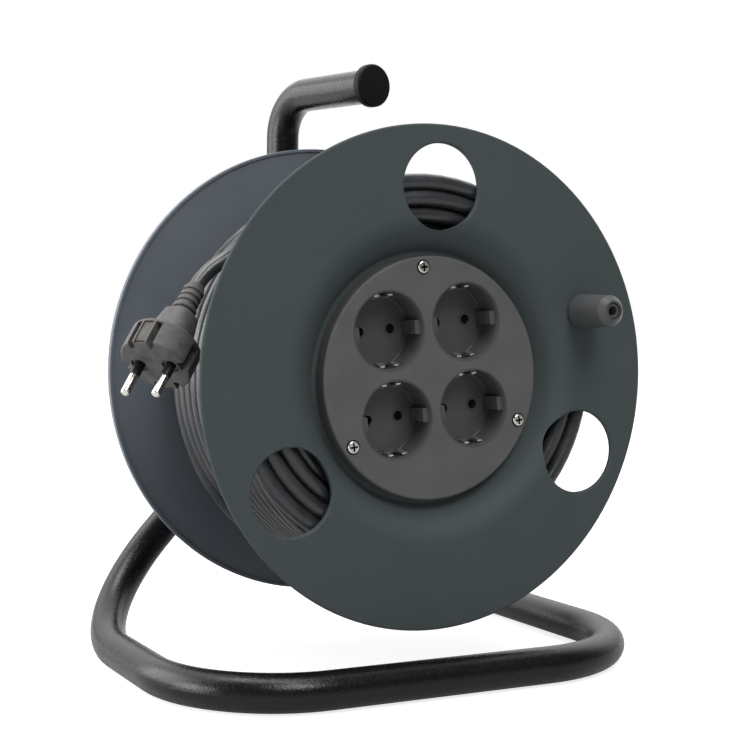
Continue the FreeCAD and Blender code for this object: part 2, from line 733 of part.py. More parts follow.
def bush(front):
    """A flanged bush: at the sleeve's front end, or at its back end."""
    inner = AXLE_R + RUNNING
    if front:
        lip = -BUSH_LIP
        seat = SLEEVE_FRONT
        inside = BUSH_LENGTH
    else:
        lip = BUSH_LIP
        seat = SLEEVE_BACK
        inside = -BUSH_LENGTH
    outline = [
        (inner, seat + inside, 0.3),
        (BUSH_R, seat + inside, 0.5),
        (BUSH_R, seat, 0),
        (BUSH_LIP_R, seat, 0.4),
        (BUSH_LIP_R, seat + lip, 0.4),
        (inner, seat + lip, 0.3),
    ]
    return turned(outline)


# Sockets

def socket_centres():
    """Middles of the four sockets on the panel, from the upper left, in rows."""
    half = SOCKET_PITCH / 2
    return [Vector(x, 0, SOCKET_RISE + z) for z in (half, -half) for x in (-half, half)]


def socket_panel():
    """Round panel: face, skirt, four round windows and three screw holes."""
    inner_r = PANEL_R - PANEL_SKIRT
    outline = [
        (0, PANEL_DEPTH, 0),
        (PANEL_R, PANEL_DEPTH, PANEL_EDGE),
        (PANEL_R, DISH_DEPTH, 0),
        (inner_r, DISH_DEPTH, 0),
        (inner_r, PANEL_BACK, 0.8),
        (0, PANEL_BACK, 0),
    ]
    panel = turned(outline)
    for centre in socket_centres():
        panel = panel.cut(rod(CUP_R + LOOSE / 2, centre, centre + Vector(0, PANEL_BACK + 1, 0)))
    panel = holes_through(panel, SEAT_R, PANEL_SCREW_PITCH_R, PANEL_SCREW_ANGLES,
                          0, PANEL_DEPTH + SEAT_DEPTH)
    return holes_through(panel, PANEL_SCREW_R + LOOSE, PANEL_SCREW_PITCH_R, PANEL_SCREW_ANGLES,
                         0, PANEL_BACK + 1)


def socket_cup(centre):
    """One socket: mouth, recess, guide ribs, pin holes, clip slots and seating collar."""
    face = PANEL_DEPTH
    floor = face + RECESS_DEPTH
    wall_r = RECESS_R + CUP_WALL
    outline = [
        (0, floor, 0),
        (RECESS_R, floor, 0.6),
        (RECESS_R, face + LEAD_IN, 0),
        (MOUTH_R - 0.6, face, 0),
        (CUP_R, face, 0),
        (CUP_R, PANEL_BACK + FIT, 0),
        (COLLAR_R, PANEL_BACK + FIT, 0),
        (COLLAR_R, PANEL_BACK + COLLAR_T, 0.4),
        (wall_r, PANEL_BACK + COLLAR_T, 0),
        (wall_r, CUP_BACK, 0.8),
        (0, CUP_BACK, 0),
    ]
    cup = turned(outline)
    for side in (-1, 1):
        guide = block(GUIDE_H + 0.6, RECESS_DEPTH - GUIDE_TOP + 1, GUIDE_W,
                      Vector(side * (RECESS_R - GUIDE_H / 2 + 0.3),
                             (floor + face + GUIDE_TOP + 1) / 2, 0))
        inner_edge = [edge for edge in guide.Edges
                      if abs(edge.BoundBox.YLength - (RECESS_DEPTH - GUIDE_TOP + 1)) < 1e-6
                      and abs(edge.CenterOfMass.x) < RECESS_R - GUIDE_H + 0.1]
        cup = cup.fuse(guide.makeFillet(0.8, inner_edge))
        pin_at = Vector(side * PIN_PITCH / 2, 0, 0)
        ring = rod(PIN_RING_R, pin_at + Vector(0, floor - PIN_RING_H, 0),
                   pin_at + Vector(0, floor + 0.5, 0))
        cup = cup.fuse(ring)
    cup = cup.removeSplitter()
    for side in (-1, 1):
        pin_at = Vector(side * PIN_PITCH / 2, 0, 0)
        cup = cup.cut(rod(PIN_HOLE_R, pin_at + Vector(0, floor - 2, 0),
                          pin_at + Vector(0, CUP_BACK + 1, 0)))
        slot = block(CLIP_W + 2 * LOOSE, CUP_FLOOR + 2, CLIP_T + 2 * LOOSE,
                     Vector(0, floor + CUP_FLOOR / 2, side * (CLIP_R + CLIP_T / 2)))
        cup = cup.cut(slot)
    cup.translate(centre)
    return cup


def earth_clip(centre):
    """The earth spring of one socket: a strip bent up through the floor at both ends."""
    top = PANEL_DEPTH + CLIP_TOP
    bulge = top + RECESS_DEPTH * 0.3
    outer = [(CLIP_R + CLIP_T, CLIP_BACK), (CLIP_R + CLIP_T, bulge + 5),
             (CLIP_R + CLIP_T - CLIP_SPRING, bulge), (CLIP_R + CLIP_T, top)]
    inner = [(x - CLIP_T, y) for x, y in reversed(outer[1:])] + [(CLIP_R, CLIP_BACK - CLIP_T)]
    right = outer + inner
    left = [(-x, y) for x, y in reversed(right)]
    corners = [Vector(0, y, x) for x, y in right + left]
    strip = Part.Face(Part.makePolygon(corners + corners[:1]))
    strip.translate(Vector(-CLIP_W / 2, 0, 0))
    clip = strip.extrude(Vector(CLIP_W, 0, 0))
    slot_end = PANEL_DEPTH + RECESS_DEPTH - 1
    clip = clip.cut(block(CLIP_SLOT, slot_end, 3 * CLIP_R, Vector(0, slot_end / 2, 0)))
    clip.translate(centre)
    return clip


def pin_contacts():
    """Eight contact sleeves that grip a plug's pins."""
    sleeves = []
    for centre in socket_centres():
        for side in (-1, 1):
            start = centre + Vector(side * PIN_PITCH / 2, CUP_BACK + FIT, 0)
            end = start + Vector(0, CONTACT_LENGTH, 0)
            sleeves.append(rod(CONTACT_R, start, end).cut(rod(CONTACT_BORE_R, start, end)))
    return Part.makeCompound(sleeves)


def contact_carrier():
    """Plate behind the sockets that holds the contact sleeves."""
    middle = Vector(0, CARRIER_FRONT, 0)
    plate = rod(CARRIER_R, middle, Vector(0, CARRIER_BACK, 0))
    for centre in socket_centres():
        for side in (-1, 1):
            at = centre + Vector(side * PIN_PITCH / 2, CARRIER_FRONT - 1, 0)
            plate = plate.cut(rod(CONTACT_R + FIT, at, at + Vector(0, CARRIER_T + 2, 0)))
    return plate


def contact_bars():
    """Two bars behind the carrier that join the contacts of each row."""
    bars = []
    y = BAR_FRONT + BAR_T / 2
    half = SOCKET_PITCH / 2
    for z in (half, -half):
        length = SOCKET_PITCH + PIN_PITCH + BAR_W
        bars.append(block(length, BAR_T, BAR_W, Vector(0, y, SOCKET_RISE + z)))
    return Part.makeCompound(bars)


def terminal_housing():
    """Cover over the contacts, seated on the carrier."""
    inner_r = CARRIER_R - HOUSING_WALL
    bars_end = BAR_FRONT + BAR_T + LOOSE
    outline = [
        (0, HOUSING_BACK - HOUSING_WALL, 0),
        (inner_r - HOUSING_TAPER, HOUSING_BACK - HOUSING_WALL, 2.0),
        (inner_r, bars_end, 0),
        (inner_r, CARRIER_BACK, 0),
        (CARRIER_R, CARRIER_BACK, 0),
        (CARRIER_R, bars_end, 0),
        (CARRIER_R - HOUSING_TAPER, HOUSING_BACK, 2.0),
        (0, HOUSING_BACK, 0),
    ]
    return turned(outline)


def knob_pin():
    """Shouldered pin of the crank knob, riveted in the flange."""
    head_front = -KNOB_LENGTH + KNOB_HEAD_SINK
    outline = [
        (0, head_front + KNOB_EYE_DEPTH, 0),
        (KNOB_EYE_R, head_front + KNOB_EYE_DEPTH, 0),
        (KNOB_EYE_R, head_front, 0.3),
        (KNOB_HEAD_R, head_front, 0.4),
        (KNOB_HEAD_R, head_front + KNOB_HEAD_LENGTH, 0),
        (KNOB_PIN_R, head_front + KNOB_HEAD_LENGTH, 0),
        (KNOB_PIN_R, WEB_BACK, 0),
        (0, WEB_BACK, 0),
    ]
    pin = turned(outline)
    pin.translate(polar(KNOB_PITCH_R, KNOB_ANGLE))
    return pin


def knob_grip():
    """The turning grip: a plain cone with a rounded foot, a chamfered end and a bore."""
    head_seat = -KNOB_LENGTH + KNOB_HEAD_SINK + KNOB_HEAD_LENGTH + EASE
    bore = KNOB_PIN_R + RUNNING
    counterbore = KNOB_HEAD_R + EASE
    outline = [
        (bore, head_seat, 0),
        (counterbore, head_seat, 0),
        (counterbore, -KNOB_LENGTH, 0.2),
        (KNOB_FACE_R, -KNOB_LENGTH, 0.5),
        (KNOB_END_R, -KNOB_LENGTH + KNOB_CHAMFER_LENGTH, 1.0),
        (KNOB_BASE_R, -EASE, KNOB_FOOT_ROUND),
        (bore, -EASE, 0),
    ]
    grip = turned(outline)
    grip.translate(polar(KNOB_PITCH_R, KNOB_ANGLE))
    return grip


# Cable

def biarc(start, start_way, end, end_way):
    """Two arcs, tangent to each other, between two points with given directions."""
    chord = end - start
    ways = start_way + end_way
    spread = 2 * (1 - start_way.dot(end_way))
    reach = chord.dot(ways)
    span = (-reach + math.sqrt(reach * reach + spread * chord.dot(chord))) / spread
    joint = (start + end + (start_way - end_way) * span) * 0.5
    return [arc_from(start, start_way, joint), arc_from(end, -end_way, joint, True)]


def arc_from(start, way, end, backwards=False):
    """Arc that leaves a point in a given direction and ends at another."""
    chord = end - start
    along = unit(chord)
    angle = way.getAngle(chord)
    side = unit(way - along * way.dot(along))
    middle = (start + end) * 0.5 + side * (chord.Length / 2 * math.tan(angle / 2))
    if backwards:
        return Part.Arc(end, middle, start).toShape()
    return Part.Arc(start, middle, end).toShape()


def winding_point(turn):
    """A point of the winding's middle line, by the turns from its start."""
    level = TURNS + CLIMB_TURNS
    y = FIRST_Y + (LAYER_END_Y - FIRST_Y) * min(turn / level, 1)
    y += (TOP_END_DEPTH - LAYER_END_Y) * smooth(max(turn - level, 0) / TOP_TURNS)
    climbed = smooth(min(max(turn - TURNS, 0) / CLIMB_TURNS, 1))
    radius = LAYER_R + (TOP_LAYER_R - LAYER_R) * climbed
    return polar(radius, START_ANGLE + 360 * turn, y)


def smooth(share):
    """Ease in and out between 0 and 1."""
    return share * share * (3 - 2 * share)


def winding_way(turn):
    """Direction of the winding's middle line."""
    step = 0.002
    total = TURNS + CLIMB_TURNS + TOP_TURNS
    return unit(winding_point(min(turn + step, total)) - winding_point(max(turn - step, 0)))


def winding_stops():
    """Turns at which the pieces of the winding meet: quarter turns or a little less."""
    stages = [0.0, TURNS, TURNS + CLIMB_TURNS, TURNS + CLIMB_TURNS + TOP_TURNS]
    stops = [0.0]
    for begin, finish in zip(stages, stages[1:]):
        pieces = math.ceil((finish - begin) * 4 - 0.001)
        stops += [begin + (finish - begin) * (k + 1) / pieces for k in range(pieces)]
    return stops


def winding_edges():
    """The winding's middle line: a straight start, quarter turns as biarcs, a straight end."""
    total = TURNS + CLIMB_TURNS + TOP_TURNS
    stops = winding_stops()
    first = winding_point(0)
    edges = [Part.LineSegment(first - winding_way(0) * CABLE_D, first).toShape()]
    for begin, finish in zip(stops, stops[1:]):
        edges += biarc(winding_point(begin), winding_way(begin),
                       winding_point(finish), winding_way(finish))
    last = winding_point(total)
    edges.append(Part.LineSegment(last, last + winding_way(total) * CABLE_D).toShape())
    return edges


def least_gap():
    """Least gap of the winding to itself, on points one turn apart."""
    per_turn = 360
    spread = 6
    total = int((TURNS + CLIMB_TURNS + TOP_TURNS) * per_turn)
    points = [winding_point(k / per_turn) for k in range(total + 1)]
    best = FLANGE_R
    for k in range(total - per_turn - spread):
        near = points[k + per_turn - spread:k + per_turn + spread]
        best = min([best] + [points[k].distanceToPoint(other) for other in near])
    return best - CABLE_D


def cable_core():
    """The lower layers as one plain ring, with the stub where the top layer comes out."""
    front = WEB_BACK + SIDE_GAP
    back = REAR_WEB_FRONT - SIDE_GAP
    bore = BARREL_R + EASE
    outline = [
        (bore, DISH_BACK + SIDE_GAP, 0),
        (DISH_INNER_R + 2.0, DISH_BACK + SIDE_GAP, 0),
        (DISH_OUTER_R + 6.0, front, 0),
        (CORE_R, front, 2.0),
        (CORE_R, back, 2.0),
        (bore, back, 0),
    ]
    core = turned(outline)
    way = winding_way(0)
    begin = winding_point(0) - way * CABLE_D
    inward = unit(Vector(-begin.x, 0, -begin.z))
    inward = unit(inward - way * inward.dot(way))
    centre = begin + inward * DIVE_R
    angle = math.radians(DIVE_ANGLE)
    middle = centre - inward * (DIVE_R * math.cos(angle / 2)) - way * (DIVE_R * math.sin(angle / 2))
    end = centre - inward * (DIVE_R * math.cos(angle)) - way * (DIVE_R * math.sin(angle))
    stub = tube_along([Part.Arc(begin, middle, end).toShape()], CABLE_R)
    return core.fuse(stub)


def tail_route():
    """Corner points of the free stretch, from the winding's end to the bend relief."""
    total = TURNS + CLIMB_TURNS + TOP_TURNS
    start = winding_point(total) + winding_way(total) * CABLE_D
    lead = start + winding_way(total) * TAIL_LEAD
    corners = [polar(TOP_LAYER_R + out, angle, y) for out, angle, y in TAIL_CORNERS]
    entry = plug_face() - unit(PLUG_AXIS) * (SKIRT_LENGTH + GRIP_LENGTH + RELIEF_LENGTH)
    before = entry - unit(PLUG_AXIS) * TAIL_END
    return [start, lead] + corners + [before, entry]


def tail_radii(points):
    """Largest arc at each corner that its two runs allow."""
    radii = []
    for before, corner, after in zip(points, points[1:], points[2:]):
        shorter = min((corner - before).Length, (after - corner).Length)
        turn = (corner - before).getAngle(after - corner)
        radii.append(0.45 * shorter / math.tan(turn / 2))
    return radii


# Plug

def plug_face():
    """Middle of the plug's face."""
    return polar(TOP_LAYER_R + PLUG_OUT, PLUG_ANGLE, PLUG_DEPTH)


def plug_place(shape):
    """Put a shape built along Z, face at zero and pins upward, at the plug's place."""
    face = plug_face()
    z_way = unit(PLUG_AXIS)
    x_way = unit(PLUG_PIN_LINE - z_way * PLUG_PIN_LINE.dot(z_way))
    y_way = z_way.cross(x_way)
    turn = FreeCAD.Matrix(
        x_way.x, y_way.x, z_way.x, face.x,
        x_way.y, y_way.y, z_way.y, face.y,
        x_way.z, y_way.z, z_way.z, face.z,
        0, 0, 0, 1)
    placed = shape.copy()
    placed.Placement = FreeCAD.Placement(turn).multiply(placed.Placement)
    return placed


def oval(half_width, half_depth, z):
    """A closed rounded outline with flat sides, at a height."""
    corner = min(half_width, half_depth) * 0.85
    points = [Vector(x * half_width, y * half_depth, z)
              for x, y in ((1, -1), (1, 1), (-1, 1), (-1, -1))]
    edges = []
    here = None
    first = None
    for k in range(4):
        start, middle, end = corner_arc(points[k - 1], points[k], points[(k + 1) % 4], corner)
        if here is not None:
            edges.append(Part.LineSegment(here, start).toShape())
        edges.append(Part.Arc(start, middle, end).toShape())
        first = first or start
        here = end
    edges.append(Part.LineSegment(here, first).toShape())
    return Part.Wire(edges)


def plug_body():
    """Moulded plug body: round skirt with notches and grooves, tapered grip and collar."""
    skirt = Part.makeCylinder(SKIRT_R, SKIRT_LENGTH, Vector(0, 0, -SKIRT_LENGTH))
    rims = [edge for edge in skirt.Edges if isinstance(edge.Curve, Part.Circle)]
    skirt = skirt.makeFillet(1.2, rims)
    back = -SKIRT_LENGTH - GRIP_LENGTH
    grip_end = back + COLLAR_LENGTH + WAIST_LENGTH
    sections = [
        oval(SKIRT_R - 3.0, SKIRT_R - 5.0, -SKIRT_LENGTH + 1),
        oval(GRIP_W / 2, GRIP_T / 2, -SKIRT_LENGTH - SHOULDER_LENGTH),
        oval(GRIP_END_W / 2, GRIP_END_T / 2, grip_end),
    ]
    body = skirt.fuse(Part.makeLoft(sections, True, True))
    body = body.fuse(Part.makeCylinder(WAIST_R, grip_end + 1 - back, Vector(0, 0, back)))
    collar = Part.makeCylinder(PLUG_COLLAR_R, COLLAR_LENGTH, Vector(0, 0, back))
    rims = [edge for edge in collar.Edges if isinstance(edge.Curve, Part.Circle)]
    body = body.fuse(collar.makeFillet(0.8, rims))
    for side in (-1, 1):
        for x in (-GROOVE_OFFSET, GROOVE_OFFSET):
            groove = Part.makeBox(GROOVE_W, GROOVE_H + 1, SKIRT_LENGTH,
                                  Vector(x - GROOVE_W / 2,
                                         min(side * (SKIRT_R - GROOVE_H), side * (SKIRT_R + 1)),
                                         -SKIRT_LENGTH + 2))
            body = body.cut(groove)
        notch = Part.makeBox(NOTCH_H, NOTCH_W, SKIRT_LENGTH,
                             Vector(side * (SKIRT_R - NOTCH_H / 2) - NOTCH_H / 2, -NOTCH_W / 2,
                                    -SKIRT_LENGTH + 2))
        body = body.cut(notch)
        seat = Part.makeBox(EARTH_W + LOOSE, EARTH_T * 3, EARTH_LENGTH + 1,
                            Vector(-(EARTH_W + LOOSE) / 2, side * (SKIRT_R - 0.4) - EARTH_T * 1.5,
                                   -EARTH_LENGTH))
        body = body.cut(seat)
        pin_at = Vector(side * PIN_PITCH / 2, 0, 0)
        body = body.cut(Part.makeCylinder(PIN_ROOT_R + FIT, PIN_ROOT + 1,
                                          pin_at - Vector(0, 0, PIN_ROOT)))
        body = body.cut(Part.makeCylinder(PIN_SEAT_R, PIN_SEAT_DEPTH + 1,
                                          pin_at - Vector(0, 0, PIN_SEAT_DEPTH)))
    return plug_place(body.removeSplitter())


def plug_pins():
    """Two round pins with bullet ends, thinner where they are moulded in."""
    pins = []
    for side in (-1, 1):
        at = Vector(side * PIN_PITCH / 2, 0, 0)
        pin = Part.makeCylinder(PIN_R, PIN_LENGTH + PIN_SEAT_DEPTH,
                                at - Vector(0, 0, PIN_SEAT_DEPTH))
        tip = [edge for edge in pin.Edges
               if isinstance(edge.Curve, Part.Circle) and edge.CenterOfMass.z > 0]
        root = Part.makeCylinder(PIN_ROOT_R, PIN_ROOT, at - Vector(0, 0, PIN_ROOT))
        pins.append(plug_place(pin.makeFillet(PIN_R * 0.5, tip).fuse(root)))
    return Part.makeCompound(pins)


def pin_sleeves():
    """Insulating sleeves at the roots of the pins."""
    sleeves = []
    for side in (-1, 1):
        at = Vector(side * PIN_PITCH / 2, 0, FIT - PIN_SEAT_DEPTH)
        length = SLEEVE_LENGTH + PIN_SEAT_DEPTH
        sleeve = Part.makeCylinder(PIN_R + FIT + SLEEVE_T, length, at)
        sleeves.append(plug_place(sleeve.cut(Part.makeCylinder(PIN_R + FIT, length, at))))
    return Part.makeCompound(sleeves)


def plug_earth_strips():
    """Side contacts of the plug, let into the skirt."""
    strips = []
    for side in (-1, 1):
        low = SKIRT_R - 0.4 - EARTH_T * 1.5
        strip = Part.makeBox(EARTH_W, EARTH_T, EARTH_LENGTH - 1,
                             Vector(-EARTH_W / 2, min(side * low, side * (low + EARTH_T)),
                                    -EARTH_LENGTH))
        strips.append(plug_place(strip))
    return Part.makeCompound(strips)


def bend_relief():
    """Tapered sleeve on the cable behind the plug, with raised ribs."""
    base = -SKIRT_LENGTH - GRIP_LENGTH
    outline = [(0, base, 0), (NECK_R, base, 0)]
    taper = (NECK_R - RELIEF_END_R) / RELIEF_LENGTH
    for k in range(RIBS):
        low = base - RIB_W - RIB_STEP * k
        radius = NECK_R - taper * (base - low)
        outline += [(radius, low, 0), (radius + RIB_H, low, 0.3),
                    (radius + RIB_H, low - RIB_W, 0.3), (radius, low - RIB_W, 0)]
    outline += [(RELIEF_END_R, base - RELIEF_LENGTH, 0.6), (0, base - RELIEF_LENGTH, 0)]
    face = rounded_face(outline)
    relief = face.revolve(ORIGIN, Y_AXIS, 360)
    relief.rotate(ORIGIN, Vector(1, 0, 0), 90)
    return plug_place(relief)


def build():
    """Make and write every piece."""
    corners = frame_corners()
    write("frame_tube", frame_tube())
    write("runner_end_cap", end_cap(corners[0], unit(corners[0] - corners[1]), TUBE_R))
    write("handle_end_cap", end_cap(corners[-1], unit(corners[-1] - corners[-2]), CAP_D / 2))
    write("axle_bracket", axle_bracket())
    write("bracket_bolts", bracket_bolts())
    write("axle", axle())
    write("axle_spacer", spacer())
    write("axle_washer", axle_washer())
    write("axle_bolt", axle_bolt())

    write("front_flange", spin(front_flange(), DRUM_TURN))
    write("drum_barrel", spin(barrel(), DRUM_TURN))
    write("rear_flange", spin(rear_flange(), DRUM_TURN))
    write("front_join_screws", spin(front_join_screws(), DRUM_TURN))
    write("rear_join_screws", spin(rear_join_screws(), DRUM_TURN))
    write("front_bush", bush(True))
    write("rear_bush", bush(False))

    write("socket_panel", spin(socket_panel(), DRUM_TURN))
    for number, centre in enumerate(socket_centres(), 1):
        write("socket_cup_%d" % number, spin(socket_cup(centre), DRUM_TURN))
        write("earth_clip_%d" % number, spin(earth_clip(centre), DRUM_TURN))
    panel_screws = [pan_screw(polar(PANEL_SCREW_PITCH_R, angle, PANEL_DEPTH + SEAT_DEPTH),
                              Y_AXIS, PANEL_SCREW_R - FIT, PANEL_HEAD_R, PANEL_HEAD_H,
                              PANEL_SCREW_LENGTH - 2, True)
                    for angle in PANEL_SCREW_ANGLES]
    write("panel_screws", spin(Part.makeCompound(panel_screws), DRUM_TURN))
    write("pin_contacts", spin(pin_contacts(), DRUM_TURN))
    write("contact_carrier", spin(contact_carrier(), DRUM_TURN))
    write("contact_bars", spin(contact_bars(), DRUM_TURN))
    write("terminal_housing", spin(terminal_housing(), DRUM_TURN))
    write("knob_pin", spin(knob_pin(), DRUM_TURN))
    write("crank_knob", spin(knob_grip(), DRUM_TURN))

    write("cable_core", cable_core())
    turns = winding_edges()
    winding = tube_along(turns, CABLE_R)
    write("wound_cable", winding)
    tail_points = tail_route()
    radii = tail_radii(tail_points)
    tail_edges = rounded_path(tail_points, radii)
    tail = tube_along(tail_edges, CABLE_R)
    write("cable_tail", tail)
    write("plug_body", plug_body())
    write("plug_pins", plug_pins())
    write("pin_sleeves", pin_sleeves())
    write("plug_earth_strips", plug_earth_strips())
    write("bend_relief", bend_relief())

    section = math.pi * CABLE_R ** 2
    turns_length = sum(edge.Length for edge in turns)
    tail_length = sum(edge.Length for edge in tail_edges)
    print("winding: least gap %.2f, length %.0f, volume over section times length %.5f, solids %d"
          % (least_gap(), turns_length, winding.Volume / section / turns_length,
             len(winding.Solids)))
    print("tail: length %.1f, volume ratio %.5f, radii %s"
          % (tail_length, tail.Volume / section / tail_length,
             ", ".join("%.0f" % radius for radius in radii)))
    print("tail runs", ["%.0f" % (b - a).Length for a, b in zip(tail_points, tail_points[1:])])


build()
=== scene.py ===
"""Extension cord reel: the solids of the reel dressed with their real finishes, with the
wound cable, its free end, a plain white floor, soft light and the camera."""
import logging
import math
from collections.abc import Sequence
from dataclasses import dataclass, field
from enum import Enum

import bpy
from mathutils import Matrix, Vector


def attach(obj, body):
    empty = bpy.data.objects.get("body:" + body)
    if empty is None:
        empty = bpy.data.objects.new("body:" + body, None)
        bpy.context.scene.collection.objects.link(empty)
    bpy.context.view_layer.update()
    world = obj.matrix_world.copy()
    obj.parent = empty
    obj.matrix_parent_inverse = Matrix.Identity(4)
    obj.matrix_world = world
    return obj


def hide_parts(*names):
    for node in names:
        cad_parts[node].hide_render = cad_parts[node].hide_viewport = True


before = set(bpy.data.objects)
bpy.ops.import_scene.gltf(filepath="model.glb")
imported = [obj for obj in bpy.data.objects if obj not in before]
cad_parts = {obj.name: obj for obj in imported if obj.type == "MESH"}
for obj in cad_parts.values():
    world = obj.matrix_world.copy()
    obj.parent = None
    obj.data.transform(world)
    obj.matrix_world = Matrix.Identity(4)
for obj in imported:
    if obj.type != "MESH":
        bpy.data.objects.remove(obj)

logging.basicConfig(level=logging.INFO, format="%(message)s")
log = logging.getLogger("reel")

MM = 0.001
AXLE_HEIGHT = 165.0     # drum axis above the floor, mm
RIM_BACK = 79.5         # front flange's face in front of the origin, mm
DRUM_TURN = 7.0         # drum as it stands, anticlockwise seen from the front, degrees
CABLE_D = 8.4           # mm
TURN_STEPS = 72         # points of a cable's line in one turn about the drum
SPLINE_ORDER = 3        # of a smooth cable's line
SPLINE_STEPS = 12       # between two points of a smooth cable's line
FACING = 0.9            # least share of a face's normal that counts as facing one way
WHITE = (1.0, 1.0, 1.0, 1.0)
WHITE_LEVEL = 1.0       # strength that shows as plain white


class Body(Enum):
    """The frame that stands, the drum that turns on it, and the knob that turns on the drum."""
    FRAME = "frame"
    DRUM = "drum"
    KNOB = "knob"


class Line(Enum):
    """How a cable's middle line is drawn: past a few points, or through many close ones."""
    SMOOTH = "NURBS"
    CLOSE = "POLY"


class Grain(Enum):
    """How a moulded, coated or plated surface was finished."""
    SMOOTH = "smooth"
    SPARK = "spark eroded"
    PEEL = "orange peel"
    BRUSHED = "drawn lengthwise"


# Noise behind the slow colour change, the speckled gloss and the relief of each grain
CLOUD_NOISE = {"Detail": 4.0, "Roughness": 0.6}
SPECKLE_NOISE = {"Detail": 3.0, "Roughness": 0.7}
GRAIN_NOISE = {
    Grain.SPARK: {"Detail": 3.0, "Roughness": 0.55},
    Grain.PEEL: {"Detail": 1.0, "Roughness": 0.55},
    Grain.BRUSHED: {"Detail": 3.0, "Roughness": 0.55},
}
TINT_SPAN = {"From Min": 0.35, "From Max": 0.65}    # noise over which colour turns to shade
GLOSS_SPAN = {"From Min": 0.3, "From Max": 0.7}     # noise over which the gloss changes
RELIEF_SHARE = 0.25                                 # depth of a relief for the size of its grain
DRAWN_SCALE = (1.0, 0.05, 1.0)                      # drawing lines run along Y, long and thin
# Colour of the painted shade in recesses, such as the screws' crosses
RECESS_SHADE_COLOUR = "#15130f"


def linear(code: str) -> tuple[float, float, float, float]:
    """Turn an sRGB hex colour into a linear one.

    Args:
        code: six hex digits with a leading mark, such as "#404846".

    Returns:
        Red, green, blue and alpha for a shader socket.
    """
    values = [int(code[k:k + 2], 16) / 255 for k in (1, 3, 5)]
    turned = [v / 12.92 if v <= 0.04045 else ((v + 0.055) / 1.055) ** 2.4 for v in values]
    return turned[0], turned[1], turned[2], 1.0


def add(tree: bpy.types.NodeTree, kind: str, values: dict | None = None,
        links: dict | None = None, **settings: object) -> bpy.types.Node:
    """Add a node with its settings, input values and links.

    Args:
        tree: node tree that takes the node.
        kind: node type, such as "ShaderNodeBump".
        values: input values by input name or number.
        links: output sockets by the input they feed.
        settings: attributes of the node.

    Returns:
        The new node.
    """
    node = tree.nodes.new(kind)
    for name, value in settings.items():
        setattr(node, name, value)
    for name, value in (values or {}).items():
        node.inputs[name].default_value = value
    for name, source in (links or {}).items():
        tree.links.new(source, node.inputs[name])
    return node


def reel_point(x: float, y: float, z: float) -> Vector:
    """Place a point given about the drum, in mm.

    Args:
        x: right of the drum axis.
        y: behind the front flange's face.
        z: above the drum axis.

    Returns:
        The point in the part's frame, in metres.
    """
    return Vector((x, y - RIM_BACK, z + AXLE_HEIGHT)) * MM


def drum_point(radius: float, y: float, angle: float) -> Vector:
    """Place a point at an angle about the drum axis.

    Args:
        radius: from the drum axis, in mm.
        y: behind the front flange's face, in mm.
        angle: anticlockwise from the right, seen from the front, in degrees.

    Returns:
        The point in the part's frame, in metres.
    """
    turned = math.radians(angle)
    return reel_point(radius * math.cos(turned), y, radius * math.sin(turned))


def ease(share: float) -> float:
    """Turn an even rise from 0 to 1 into one that starts and ends gently."""
    return share * share * (3 - 2 * share)


